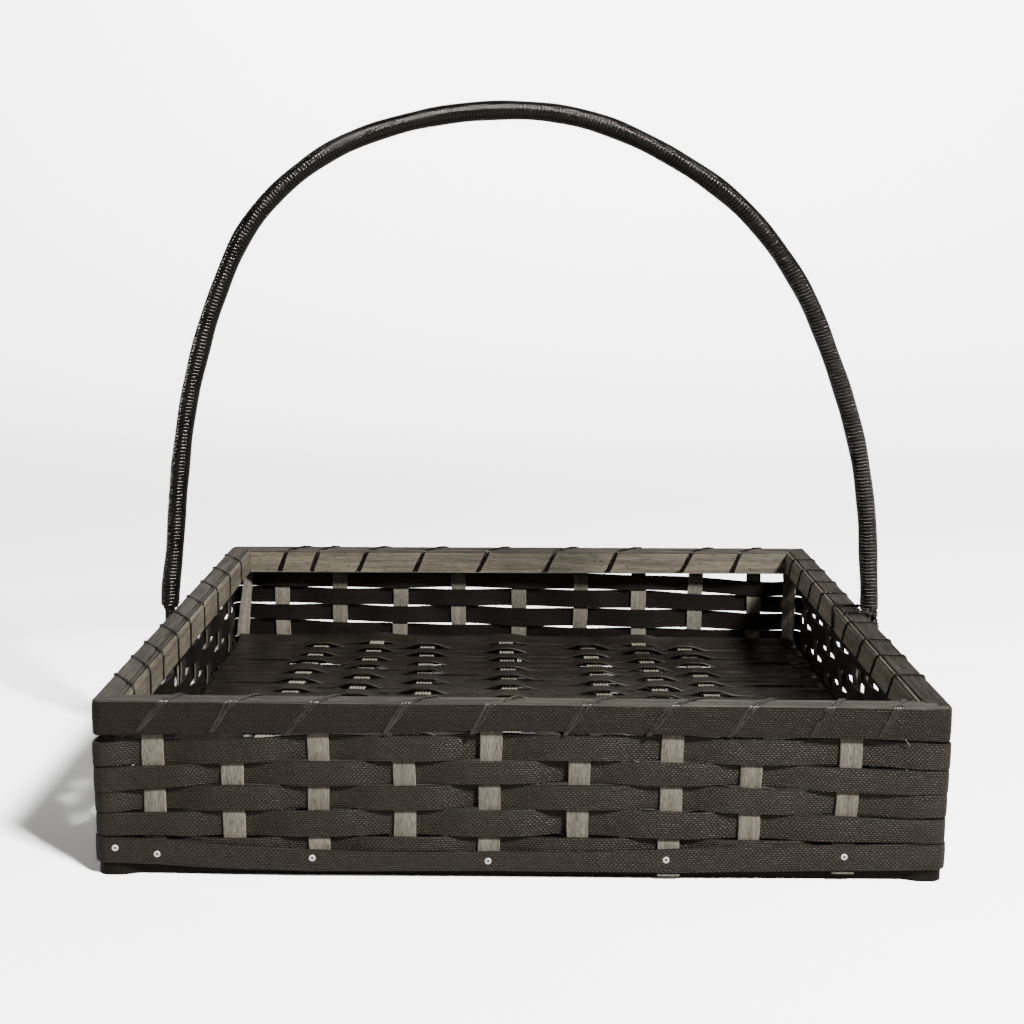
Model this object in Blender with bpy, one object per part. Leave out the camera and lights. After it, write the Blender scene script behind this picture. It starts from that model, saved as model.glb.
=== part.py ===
# A cane gift basket: a square tray woven from flat cane strips, with a cord-wound arch handle.
# Metres, +Z up. The origin is on the surface that the basket stands on, under its middle.
# The front looks to -Y. Each side is drawn in a frame of its own: s runs along the side to the
# right, as seen from outside, and d is how far out from the middle a point lies.
import math

import bmesh
import bpy
from mathutils import Vector
from mathutils.geometry import interpolate_bezier

# Driving dimensions
BASKET_WIDTH = 0.3560
RIM_TOP = 0.0760
HANDLE_TOP = 0.3332
GAP = 0.0003

# The rim: an outer strip, a core, a lining strip inside and a cap on top
RIM_HEIGHT = 0.0132
RIM_WIDTH = 0.0123
RIM_STRIP_THICKNESS = 0.0011
RIM_LINING_THICKNESS = 0.0015
RIM_CAP_THICKNESS = 0.0008
RIM_CORNER_RADIUS = 0.0050
RIM_INNER_CORNER_RADIUS = 0.0012
BUTT_GAP = 0.0005

# The stakes, which stand upright in the walls
STAKE_WIDTH = 0.0092
STAKE_THICKNESS = 0.0010
STAKE_FOOT = 0.0012
POST_WIDTH = 0.0094

# The weaver rows, numbered from the top. A strip is a little narrower at the back.
ROW_COUNT = 5
ROW_PITCH = 0.0107
LOWEST_ROW = 0.0064
ROW_LIFT = 0.0014
WEAVER_THICKNESS = 0.0010
WEAVER_HEIGHT_FRONT = 0.0103
WEAVER_HEIGHT_BACK = 0.0092
WEAVE_INSET = 0.0003
WEAVER_GRIP = 0.0004
LAP_LEAD = 0.0020
LAP_TAIL = 0.0080

# The base band outside the stakes, and the foot band inside them, which the basket stands on
BAND_THICKNESS = 0.0010
BAND_HEIGHT = 0.0102
BAND_FOOT = 0.0058
BAND_SAG = 0.0025
FOOT_THICKNESS = 0.0015

# The floor mat, whose edges turn down between the walls and the foot band
MAT_TOP = 0.0174
MAT_THICKNESS = 0.0016
MAT_SKIRT_THICKNESS = 0.0008
MAT_SKIRT_FOOT = 0.0020
MAT_MARGIN = 0.0047
WARP_WIDTH = 0.0087
WARP_RISE = 0.0006
WARP_TUCK = 0.0006
MAT_GROOVE = 0.0005
MAT_STRIP_SHOULDER = 0.0014
MAT_SLOT_WIDTH = 0.0024
MAT_SLOT_MARGIN = 0.0030
MAT_SLOT_OVERRUN = 0.0010

# The lashing cord round the rim
LASH_WIDTH = 0.0024
LASH_THICKNESS = 0.0012
LASH_SLANT = 0.0094
LASH_CROSS = 0.0100
LASH_LEAN = 0.0060
LASH_TURN = 0.0005

# The handle: a bent cane core in a sleeve of wound cord. Its arch stands on the legs.
ARCH_INSET = 0.0010
CORE_RADIUS = 0.0037
WRAP_RADIUS = 0.0050
WRAP_FOOT = 0.0783
LEG_WIDTH = 0.0080
LEG_THICKNESS = 0.0050
LEG_THICKNESS_UNDER_RIM = 0.0042
TONGUE_WIDTH = 0.0076
TONGUE_THICKNESS = 0.0024
TONGUE_TIP_THICKNESS = 0.0016
TONGUE_FOOT = 0.0205
TIE_RADIUS = 0.0009
TIE_BESIDE_LEG = 0.0076
TIE_PITCH = 0.0025
TIE_ROOM = 0.0006
TIE_SWEEP = math.radians(72)

# Places along the sides, as shares of half the basket's width
FRONT_STAKE_SHARES = (-0.862, -0.677, -0.476, -0.275, -0.074, 0.134, 0.352, 0.539, 0.769)
BACK_STAKE_SHARES = (-0.831, -0.625, -0.425, -0.222, -0.004, 0.209, 0.412, 0.626, 0.829)
SIDE_STAKE_SHARES = (-0.820, -0.615, -0.410, -0.205, 0.000, 0.205, 0.410, 0.615, 0.820)
FRONT_LASH_SHARES = (-0.804, -0.650, -0.455, -0.243, -0.047, 0.177, 0.379, 0.566, 0.747, 0.885)
RIGHT_FRONT_LASH_SHARES = (-0.736, -0.506, -0.320, -0.118)
RIGHT_BACK_LASH_SHARES = (0.273, 0.438, 0.631, 0.803)
BACK_LASH_SHARES = (-0.809, -0.640, -0.404, -0.180, 0.062, 0.275, 0.483, 0.657, 0.775)
LEFT_LASH_SHARES = (-0.843, -0.618, -0.393, -0.169, 0.045, 0.219, 0.416, 0.573, 0.753)
WARP_BACK_SHARES = (-0.667, -0.486, -0.315, -0.043, 0.236, 0.418, 0.568)
WARP_MIDDLE_SHARES = (-0.721, -0.511, -0.289, -0.020, 0.276, 0.454, 0.610)

# The arch's middle line from its left foot to its right foot: places across as shares of
# the arch's half span, and heights as shares of the rise from the foot to the top
ARCH_SHARES = (
    (-1.000, 0.000), (-0.984, 0.110), (-0.970, 0.230), (-0.950, 0.350), (-0.921, 0.460),
    (-0.855, 0.620), (-0.747, 0.781), (-0.560, 0.905), (-0.341, 0.971), (-0.085, 1.000),
    (0.150, 0.987), (0.371, 0.926), (0.594, 0.819), (0.761, 0.672), (0.866, 0.512),
    (0.943, 0.348), (0.980, 0.204), (0.992, 0.100), (1.000, 0.000),
)
ARCH_SMOOTHING_SHARE = 1.0 / 3.0

# A cord's section: a hexagon of width 2 and height 2, for half its width and half its thickness
CORD_SECTION_SHARES = ((1.0, 0.0), (0.5, 1.0), (-0.5, 1.0), (-1.0, 0.0), (-0.5, -1.0), (0.5, -1.0))
SHARPEST_MITRE_SHARE = 0.5

# Counts, and the angle past which a fold in a round piece stays sharp
CORNER_STEPS = 4
INNER_CORNER_STEPS = 2
CORE_SIDES = 10
WRAP_SIDES = 12
ARCH_STEPS = 2
MAT_STRIPS = 33
MAT_SLOT_STEP = 3
LASH_RUNS = 9
TIE_RUNS = 20
TIE_STEPS = 4
GAP_SAMPLES = 12
SMOOTH_ANGLE = math.radians(50)

FRONT, RIGHT, BACK, LEFT = range(4)
SIDE_NAMES = ("front", "right", "back", "left")

# Depths in the wall, worked out from the outside in
half_width = BASKET_WIDTH / 2
weave_swing = WEAVER_THICKNESS / 2 + GAP + STAKE_THICKNESS / 2
weaver_outside = half_width - WEAVE_INSET - WEAVER_THICKNESS / 2
stake_middle = weaver_outside - weave_swing
weaver_inside = stake_middle - weave_swing
wall_inner_face = weaver_inside - WEAVER_THICKNESS / 2
weaver_lap = weaver_inside - WEAVER_THICKNESS - GAP
band_middle = weaver_outside + WEAVER_THICKNESS / 2 + GAP + BAND_THICKNESS / 2
stake_outer_face = stake_middle + STAKE_THICKNESS / 2
stake_inner_face = stake_middle - STAKE_THICKNESS / 2

# Levels and depths of the rim
rim_foot = RIM_TOP - RIM_HEIGHT
cap_foot = RIM_TOP - RIM_CAP_THICKNESS
strips_top = cap_foot - GAP
rim_inner_face = half_width - RIM_WIDTH
lining_outer_face = rim_inner_face + RIM_LINING_THICKNESS
core_inner_face = lining_outer_face + GAP
core_outer_face = stake_inner_face - GAP

# The floor and what lies round it
mat_edge = wall_inner_face - GAP
mat_skirt_inner = mat_edge - MAT_SKIRT_THICKNESS
mat_strip_pitch = 2 * (mat_edge - MAT_MARGIN) / MAT_STRIPS
mat_underside = MAT_TOP - MAT_THICKNESS
mat_upper_face = MAT_TOP + WARP_RISE
foot_band_middle = mat_skirt_inner - GAP - FOOT_THICKNESS / 2
foot_band_top = mat_underside - GAP

# The handle's feet
leg_back = half_width + GAP + LASH_THICKNESS + GAP
leg_middle = leg_back + LEG_THICKNESS / 2
arch_half_span = leg_middle - ARCH_INSET
tongue_back = stake_outer_face + GAP
arch_rise = HANDLE_TOP - WRAP_RADIUS - WRAP_FOOT
weaver_over_tongue = tongue_back + TONGUE_THICKNESS + GAP + WEAVER_THICKNESS / 2


def clear_scene():
    for old in list(bpy.data.objects):
        bpy.data.objects.remove(old)


def finish_of(name, colour, roughness, metallic=0.0):
    material = bpy.data.materials.get(name) or bpy.data.materials.new(name)
    material.use_nodes = True
    shader = material.node_tree.nodes["Principled BSDF"]
    shader.inputs["Base Color"].default_value = (*colour, 1.0)
    shader.inputs["Roughness"].default_value = roughness
    shader.inputs["Metallic"].default_value = metallic
    return material


def dark_cane():
    return finish_of("dark_cane", (0.045, 0.038, 0.033), 0.55)


def pale_cane():
    return finish_of("pale_cane", (0.26, 0.23, 0.18), 0.65)


def rim_cane():
    return finish_of("rim_cane", (0.16, 0.14, 0.115), 0.60)


def dark_cord():
    return finish_of("dark_cord", (0.03, 0.027, 0.024), 0.40)


def object_of(name, mesh, material, rounded=False):
    mesh.materials.append(material)
    if rounded:
        mesh.shade_smooth()
        mesh.set_sharp_from_angle(angle=SMOOTH_ANGLE)
    piece = bpy.data.objects.new(name, mesh)
    bpy.context.scene.collection.objects.link(piece)
    return piece


def mesh_of(name, points, faces):
    """A closed mesh, with its faces turned to look out."""
    shape = bmesh.new()
    corners = [shape.verts.new(point) for point in points]
    for face in faces:
        shape.faces.new([corners[index] for index in face])
    bmesh.ops.recalc_face_normals(shape, faces=shape.faces)
    mesh = bpy.data.meshes.new(name)
    shape.to_mesh(mesh)
    shape.free()
    return mesh


def turned(side, s, d):
    """A place on a side, as a point in plan."""
    x, y = s, -d
    for _ in range(side):
        x, y = -y, x
    return x, y


def corner_arc(side, depth, radius, steps):
    """The round corner at a side's right end, as places on that side."""
    centre = depth - radius
    arc = []
    for step in range(steps + 1):
        angle = math.pi / 2 * step / steps
        arc.append((side, centre + radius * math.sin(angle), centre + radius * math.cos(angle)))
    return arc


def ring_route(places_on, depth, radius, steps=CORNER_STEPS):
    """Places all round the basket: those that places_on gives on each side, and the corners."""
    route = []
    for side in range(4):
        route.extend((side, s, d) for s, d in places_on(side))
        route.extend(corner_arc(side, depth, radius, steps))
    return route


def opened(route, side, first, last):
    """A ring's route cut open on a side: it starts at first, goes round and ends at last."""
    after = [place for place in route if place[0] == side and place[1] > first[0][0]]
    before = [place for place in route if place[0] == side and place[1] < last[0][0]]
    start = route.index(after[0])
    others = [place for place in route[start:] + route[:start] if place[0] != side]
    begins = [(side, s, d) for s, d in first]
    ends = [(side, s, d) for s, d in last]
    return begins + after + others + before + ends


def ribbon(name, route, thickness, low, high, material):
    """A flat strip on edge along a route. low and high give its edges' heights at a place."""
    plan = [Vector(turned(*place)) for place in route]
    points = []
    for index, here in enumerate(plan):
        back = (here - plan[index - 1]).normalized() if index else None
        ahead = (plan[index + 1] - here).normalized() if index + 1 < len(plan) else None
        back = back or ahead
        ahead = ahead or back
        along = (back + ahead).normalized()
        across = Vector((along.y, -along.x)) * (thickness / 2 / along.dot(ahead))
        bottom, top = low(*route[index]), high(*route[index])
        for edge, level in ((here + across, bottom), (here + across, top),
                            (here - across, top), (here - across, bottom)):
            points.append((edge.x, edge.y, level))
    return object_of(name, mesh_of(name, points, tube_faces(len(plan), 4)), material)


def tube_faces(rings, sides):
    faces = []
    for ring in range(rings - 1):
        for side in range(sides):
            beside = (side + 1) % sides
            here, there = ring * sides, (ring + 1) * sides
            faces.append((here + side, here + beside, there + beside, there + side))
    faces.append(tuple(range(sides)))
    faces.append(tuple((rings - 1) * sides + side for side in range(sides)))
    return faces


def level(height):
    return lambda side, s, d: height


def mid_side_share(s):
    """1 in the middle of a side, down to 0 at its corners."""
    return max(0.0, 1.0 - (s / half_width) ** 2)


# Stakes and corner posts


def stake_places(side):
    shares = {FRONT: FRONT_STAKE_SHARES, BACK: BACK_STAKE_SHARES}.get(side, SIDE_STAKE_SHARES)
    return [share * half_width for share in shares]


def box_mesh(name, width, thickness, low, high):
    """An upright strip, its middle on the local Z axis."""
    x, y = width / 2, thickness / 2
    points = [(sx * x, sy * y, z) for z in (low, high)
              for sx, sy in ((-1, -1), (1, -1), (1, 1), (-1, 1))]
    return mesh_of(name, points, tube_faces(2, 4))


def make_stakes():
    mesh = box_mesh("stake", STAKE_WIDTH, STAKE_THICKNESS, STAKE_FOOT, strips_top)
    mesh.materials.append(pale_cane())
    for side, side_name in enumerate(SIDE_NAMES):
        for number, s in enumerate(stake_places(side), 1):
            stake = bpy.data.objects.new(f"{side_name}_stake_{number}", mesh)
            bpy.context.scene.collection.objects.link(stake)
            stake.location = (*turned(side, s, stake_middle), 0.0)
            stake.rotation_euler = (0.0, 0.0, side * math.pi / 2)


def make_corner_posts():
    """A pale strip set at 45 degrees inside each corner, from the floor mat to the rim."""
    reach = (POST_WIDTH + STAKE_THICKNESS) / 2 * math.cos(math.pi / 4)
    place = weaver_outside - WEAVER_THICKNESS / 2 - 2 * GAP - reach
    low = mat_upper_face + GAP
    mesh = box_mesh("post", POST_WIDTH, STAKE_THICKNESS, low, rim_foot - GAP)
    mesh.materials.append(pale_cane())
    names = ("front_right", "back_right", "back_left", "front_left")
    for side, corner in enumerate(names):
        post = bpy.data.objects.new(f"corner_post_{corner}", mesh)
        bpy.context.scene.collection.objects.link(post)
        post.location = (*turned(side, place, place), 0.0)
        post.rotation_euler = (0.0, 0.0, side * math.pi / 2 + math.pi / 4)


# Weaver rows and bands


def passes_outside(row, number):
    """A weaver goes outside every second stake, and the next row outside the others."""
    return (row + number) % 2 == 1


def weaver_depth(row, side, number):
    if not passes_outside(row, number):
        return weaver_inside
    middle_stake = (len(SIDE_STAKE_SHARES) + 1) // 2
    if side in (LEFT, RIGHT) and number == middle_stake and row < ROW_COUNT:
        return weaver_over_tongue
    return weaver_outside


def weaver_hold(side, number, depth):
    """Half the length over which a weaver lies flat on a stake."""
    held = max(STAKE_WIDTH, TONGUE_WIDTH) if depth == weaver_over_tongue else STAKE_WIDTH
    return held / 2 + WEAVER_GRIP


def row_places(row):
    def places_on(side):
        places = []
        for number, s in enumerate(stake_places(side), 1):
            depth = weaver_depth(row, side, number)
            hold = weaver_hold(side, number, depth)
            places.extend([(s - hold, depth), (s + hold, depth)])
        return places

    return places_on


def weaver_height(side, s, d):
    y = turned(side, s, d)[1]
    share = (y + half_width) / BASKET_WIDTH
    return WEAVER_HEIGHT_FRONT + (WEAVER_HEIGHT_BACK - WEAVER_HEIGHT_FRONT) * share


def make_weaver_row(row):
    """One strip woven right round. Its ends lap inside the front wall, behind a stake."""
    foot = LOWEST_ROW + (ROW_COUNT - row) * ROW_PITCH

    def low(side, s, d):
        return foot + ROW_LIFT * mid_side_share(s)

    def high(side, s, d):
        return low(side, s, d) + weaver_height(side, s, d)

    route = ring_route(row_places(row), weaver_outside, RIM_CORNER_RADIUS)
    middle = (len(FRONT_STAKE_SHARES) + 1) // 2
    if row < ROW_COUNT:
        number = middle if not passes_outside(row, middle) else middle + 1
        s = stake_places(FRONT)[number - 1]
        hold = weaver_hold(FRONT, number, weaver_inside)
        first = [(s - hold, weaver_inside)]
        last = [(s - hold - LAP_LEAD, weaver_lap), (s + hold + LAP_TAIL, weaver_lap)]
    else:
        number = middle if passes_outside(row, middle) else middle + 1
        s = stake_places(FRONT)[number - 1]
        first = [(s + BUTT_GAP / 2, weaver_outside)]
        last = [(s - BUTT_GAP / 2, weaver_outside)]
    route = opened(route, FRONT, first, last)
    ribbon(f"weaver_row_{row}", route, WEAVER_THICKNESS, low, high, dark_cane())


def plain_ring(name, depth, radius, thickness, low, high, material, steps=CORNER_STEPS,
               places=(), joint_side=BACK):
    """A strip bent round the basket, with its ends butted in the middle of one side."""

    def places_on(side):
        return [(share * depth, depth) for share in places]

    route = ring_route(places_on, depth, radius, steps)
    first = [(BUTT_GAP / 2, depth)]
    last = [(-BUTT_GAP / 2, depth)]
    route = opened(route, joint_side, first, last)
    return ribbon(name, route, thickness, low, high, material)


def make_bands():
    def low(side, s, d):
        return BAND_FOOT - BAND_SAG * mid_side_share(s)

    def high(side, s, d):
        return low(side, s, d) + BAND_HEIGHT

    corner = RIM_CORNER_RADIUS + band_middle - weaver_outside
    along_shares = (-0.75, -0.5, -0.25, 0.25, 0.5, 0.75)
    plain_ring("base_band", band_middle, corner, BAND_THICKNESS, low, high, dark_cane(),
               places=along_shares)
    plain_ring("foot_band", foot_band_middle, RIM_CORNER_RADIUS, FOOT_THICKNESS,
               level(0.0), level(foot_band_top), dark_cane())


# Rim


def make_rim():
    strip = half_width - RIM_STRIP_THICKNESS / 2
    core = (core_inner_face + core_outer_face) / 2
    core_width = core_outer_face - core_inner_face
    lining = rim_inner_face + RIM_LINING_THICKNESS / 2
    cap = rim_inner_face + RIM_WIDTH / 2
    inner_corner = RIM_INNER_CORNER_RADIUS
    foot, top = level(rim_foot), level(strips_top)
    plain_ring("rim_outer_strip", strip, RIM_CORNER_RADIUS - RIM_STRIP_THICKNESS / 2,
               RIM_STRIP_THICKNESS, foot, top, dark_cane())
    plain_ring("rim_core", core, inner_corner + core_width / 2, core_width, foot, top,
               rim_cane(), steps=INNER_CORNER_STEPS)
    plain_ring("rim_lining", lining, inner_corner + RIM_LINING_THICKNESS / 2,
               RIM_LINING_THICKNESS, foot, top, rim_cane(), steps=INNER_CORNER_STEPS)
    plain_ring("rim_cap", cap, inner_corner + RIM_WIDTH / 2, RIM_WIDTH, level(cap_foot),
               level(RIM_TOP), rim_cane())


# Cords


def cord_tube(name, route, outward, half_sizes, material):
    """A cord along points in space. outward gives each point's direction away from the work;
    half_sizes are half the cord's width and half its thickness."""
    wide, thick = half_sizes
    points = []
    for index, here in enumerate(route):
        back = (here - route[index - 1]).normalized() if index else None
        ahead = (route[index + 1] - here).normalized() if index + 1 < len(route) else None
        back = back or ahead
        ahead = ahead or back
        along = (back + ahead).normalized()
        stretch = 1.0 / max(along.dot(ahead), SHARPEST_MITRE_SHARE)
        beside = along.cross(outward[index]).normalized()
        away = beside.cross(along).normalized()
        turn_side = abs((ahead - back).dot(beside)) > abs((ahead - back).dot(away))
        beside_stretch = stretch if turn_side else 1.0
        away_stretch = 1.0 if turn_side else stretch
        for u, v in CORD_SECTION_SHARES:
            points.append(here + beside * (u * wide * beside_stretch)
                          + away * (v * thick * away_stretch))
    mesh = mesh_of(name, points, tube_faces(len(route), len(CORD_SECTION_SHARES)))
    return object_of(name, mesh, material, rounded=True)


def clear_of_stakes(side, s):
    """The nearest place where a cord can pass through the wall between two stakes."""
    room = STAKE_WIDTH / 2 + LASH_WIDTH / 2 + 2 * GAP
    for stake in stake_places(side):
        if abs(s - stake) < room:
            return stake + math.copysign(room, s - stake)
    return s


def make_lashing(name, side, shares):
    """A flat cord wound along the rim: up the outer face, over, down the inner face, and out
    again under the rim between two stakes. It crosses the front and back rims at a slant."""
    off = GAP + LASH_THICKNESS / 2
    out, inn = half_width + off, rim_inner_face - off
    low, high = rim_foot - off, RIM_TOP + off
    turn = LASH_TURN
    cross = LASH_CROSS / 2 if side in (FRONT, BACK) else 0.0
    up, down = Vector((0, 0, 1)), Vector((0, 0, -1))
    outside, inside = Vector((0, -1, 0)), Vector((0, 1, 0))
    route, outward = [], []

    def lay(s, d, z, direction):
        route.append(Vector((s, -d, z)))
        outward.append(direction)

    for loop, share in enumerate(shares):
        outer_top = share * half_width - cross
        inner_top = share * half_width + cross
        foot = clear_of_stakes(side, outer_top - LASH_SLANT)
        lean = min(inner_top + LASH_LEAN, inn - 2 * LASH_WIDTH)
        if not loop:
            lay(foot, core_outer_face - 2 * LASH_WIDTH, low, down)
        else:
            lay(foot, core_outer_face, low, down)
        lay(foot, out - turn, low, down)
        lay(foot, out, low + turn, outside)
        lay(outer_top, out, high - turn, outside)
        lay(outer_top, out - turn, high, up)
        lay(inner_top, inn + turn, high, up)
        lay(inner_top, inn, high - turn, inside)
        lay(lean, inn, low + turn, inside)
        lay(lean, inn + turn, low, down)
    lay(lean, core_inner_face + LASH_WIDTH, low, down)
    report_least_gap(name, route, LASH_RUNS, LASH_WIDTH)
    piece = cord_tube(name, route, outward, (LASH_WIDTH / 2, LASH_THICKNESS / 2), dark_cord())
    piece.rotation_euler = (0.0, 0.0, side * math.pi / 2)
    return piece


def nearest(a, b, c, d):
    """The distance between two straight runs, a to b and c to d, on points along them."""
    one = [a.lerp(b, step / GAP_SAMPLES) for step in range(GAP_SAMPLES + 1)]
    two = [c.lerp(d, step / GAP_SAMPLES) for step in range(GAP_SAMPLES + 1)]
    return min((p - q).length for p in one for q in two)


def report_least_gap(name, route, runs_apart, thickness):
    """Prints the least gap between a winding's runs that don't follow each other."""
    least = math.inf
    for i in range(len(route) - 1):
        for j in range(i + 3, min(i + 2 * runs_apart, len(route) - 1)):
            least = min(least, nearest(route[i], route[i + 1], route[j], route[j + 1]))
    print(f"{name}: least gap to itself {(least - thickness) * 1000:.2f} mm")


# Handle


def arch_route():
    """The arch's middle line: a smooth curve through its chosen places."""
    places = [Vector((x * arch_half_span, 0.0, WRAP_FOOT + z * arch_rise))
              for x, z in ARCH_SHARES]
    slopes = []
    for index, here in enumerate(places):
        before = places[max(index - 1, 0)]
        after = places[min(index + 1, len(places) - 1)]
        slopes.append((after - before).normalized())
    slopes[0], slopes[-1] = Vector((0, 0, 1)), Vector((0, 0, -1))
    route = []
    for index in range(len(places) - 1):
        here, there = places[index], places[index + 1]
        handle = (there - here).length * ARCH_SMOOTHING_SHARE
        curve = interpolate_bezier(here, here + slopes[index] * handle,
                                   there - slopes[index + 1] * handle, there, ARCH_STEPS + 1)
        route.extend(curve[:-1])
    route.append(places[-1])
    return route


def arch_rings(route, radius, sides):
    """Rings of points square to the arch. Each ring starts on the arch's outer side."""
    rings = []
    for index, here in enumerate(route):
        before = route[max(index - 1, 0)]
        after = route[min(index + 1, len(route) - 1)]
        along = (after - before).normalized()
        if index in (0, len(route) - 1):
            along = Vector((0, 0, 1 if index == 0 else -1))
        across = Vector((0, 1, 0))
        out = across.cross(along).normalized()
        ring = []
        for side in range(sides):
            angle = 2 * math.pi * side / sides
            ring.append(here - out * (radius * math.cos(angle))
                        + across * (radius * math.sin(angle)))
        rings.append(ring)
    return rings


def leg_rings():
    """The leg below the arch, from the top down, for the right side: it is shaved to lie on
    the rim, and goes on as a thin tongue between the middle stake and the weavers."""
    under_rim = rim_foot - GAP - LASH_THICKNESS
    second_row_top = (LOWEST_ROW + (ROW_COUNT - 2) * ROW_PITCH + ROW_LIFT
                      + WEAVER_HEIGHT_FRONT)
    tongue_half = TONGUE_WIDTH / 2
    stations = (
        (RIM_TOP + GAP, half_width + GAP * 2, leg_back + LEG_THICKNESS, LEG_WIDTH / 2),
        (strips_top, leg_back, leg_back + LEG_THICKNESS, LEG_WIDTH / 2),
        (under_rim, leg_back, leg_back + LEG_THICKNESS_UNDER_RIM, LEG_WIDTH / 2),
        (second_row_top + GAP, tongue_back, tongue_back + TONGUE_THICKNESS, tongue_half),
        (TONGUE_FOOT, tongue_back, tongue_back + TONGUE_TIP_THICKNESS, tongue_half),
    )
    rings = []
    for z, back, front, half in stations:
        middle, thick = (back + front) / 2, (front - back) / 2
        ring = []
        for side in range(CORE_SIDES):
            angle = 2 * math.pi * side / CORE_SIDES
            ring.append(Vector((middle + thick * math.cos(angle), half * math.sin(angle), z)))
        rings.append(ring)
    return rings


def mirrored(ring):
    """The same ring on the left side, its points in the same order round the core."""
    return [Vector((-point.x, point.y, point.z)) for point in ring]


def make_handle_core():
    """One bent cane from tongue to tongue."""
    route = arch_route()
    arch = arch_rings(route, CORE_RADIUS, CORE_SIDES)
    legs = leg_rings()
    rings = [mirrored(ring) for ring in reversed(legs)] + arch + legs
    points = [point for ring in rings for point in ring]
    mesh = mesh_of("handle_core", points, tube_faces(len(rings), CORE_SIDES))
    object_of("handle_core", mesh, pale_cane(), rounded=True)


def make_handle_wrap():
    """The sleeve of wound cord, open at both ends, with the core running through it."""
    route = arch_route()
    outer = arch_rings(route, WRAP_RADIUS, WRAP_SIDES)
    inner = arch_rings(route, CORE_RADIUS + GAP / math.cos(math.pi / CORE_SIDES), WRAP_SIDES)
    rings = len(route)
    points = [point for ring in outer + inner for point in ring]
    faces = []
    for ring in range(rings - 1):
        for side in range(WRAP_SIDES):
            beside = (side + 1) % WRAP_SIDES
            here, there = ring * WRAP_SIDES, (ring + 1) * WRAP_SIDES
            faces.append((here + side, here + beside, there + beside, there + side))
            here, there = here + rings * WRAP_SIDES, there + rings * WRAP_SIDES
            faces.append((here + side, there + side, there + beside, here + beside))
    for ring in (0, rings - 1):
        for side in range(WRAP_SIDES):
            beside = (side + 1) % WRAP_SIDES
            out, inn = ring * WRAP_SIDES, (ring + rings) * WRAP_SIDES
            faces.append((out + side, inn + side, inn + beside, out + beside))
    mesh = mesh_of("handle_wrap", points, faces)
    object_of("handle_wrap", mesh, dark_cord(), rounded=True)


def make_handle_tie():
    """The cord that binds the right leg: a turn round the rim, then a cross over the leg."""
    off = GAP + TIE_RADIUS
    out, inn = half_width + off, rim_inner_face - off
    low, high = rim_foot - off, RIM_TOP + off
    near, far = -TIE_BESIDE_LEG, -TIE_BESIDE_LEG - TIE_PITCH
    turn = TIE_RADIUS
    up, down = Vector((0, 0, 1)), Vector((0, 0, -1))
    outside, inside = Vector((0, -1, 0)), Vector((0, 1, 0))
    route, outward = [], []

    def lay(s, d, z, direction):
        route.append(Vector((s, -d, z)))
        outward.append(direction)

    def over_rim(s):
        lay(s, inn, low + turn, inside)
        lay(s, inn, high - turn, inside)
        lay(s, inn + turn, high, up)
        lay(s, out - turn, high, up)

    def round_leg(sign, layer):
        """From beside the leg at the rim's top to the other side of it at the rim's foot."""
        clear = off + TIE_ROOM / 2 + layer * (2 * TIE_RADIUS + TIE_ROOM)
        reach_s = LEG_WIDTH / 2 + clear
        reach_d = LEG_THICKNESS / 2 + clear
        for step in range(TIE_STEPS + 1):
            share = step / TIE_STEPS
            angle = sign * TIE_SWEEP * (1 - 2 * share)
            z = high - 2 * turn - (high - low - 4 * turn) * share
            direction = Vector((math.sin(angle), -math.cos(angle), 0))
            lay(reach_s * math.sin(angle), leg_middle + reach_d * math.cos(angle), z, direction)

    over_rim(far)
    lay(far, out, high - turn, outside)
    lay(far, out, low + turn, outside)
    lay(far, out - turn, low, down)
    lay(near, inn + turn, low, down)
    over_rim(near)
    round_leg(-1, 0)
    lay(-near, out, low + turn, outside)
    lay(-near, out - turn, low, down)
    lay(-near, inn + turn, low, down)
    over_rim(-near)
    round_leg(1, 1)
    lay(near, out, low + 3 * turn, outside)
    report_least_gap("handle_tie", route, TIE_RUNS, 2 * TIE_RADIUS)
    piece = cord_tube("handle_tie", route, outward, (TIE_RADIUS, TIE_RADIUS), dark_cord())
    piece.rotation_euler = (0.0, 0.0, RIGHT * math.pi / 2)


# Floor mat


def mat_strip_middle(strip):
    return (strip - (MAT_STRIPS - 1) / 2) * mat_strip_pitch


def mat_profile():
    """The mat's upper side from front to back: crosswise strips with a groove between them."""
    half = mat_strip_pitch / 2
    profile = [(-mat_edge, MAT_TOP - MAT_GROOVE)]
    for strip in range(MAT_STRIPS):
        y = mat_strip_middle(strip)
        profile.append((y - half, MAT_TOP - MAT_GROOVE))
        profile.append((y - half + MAT_STRIP_SHOULDER, MAT_TOP))
        profile.append((y + half - MAT_STRIP_SHOULDER, MAT_TOP))
    profile.append((y + half, MAT_TOP - MAT_GROOVE))
    profile.append((mat_edge, MAT_TOP - MAT_GROOVE))
    return profile


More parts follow.
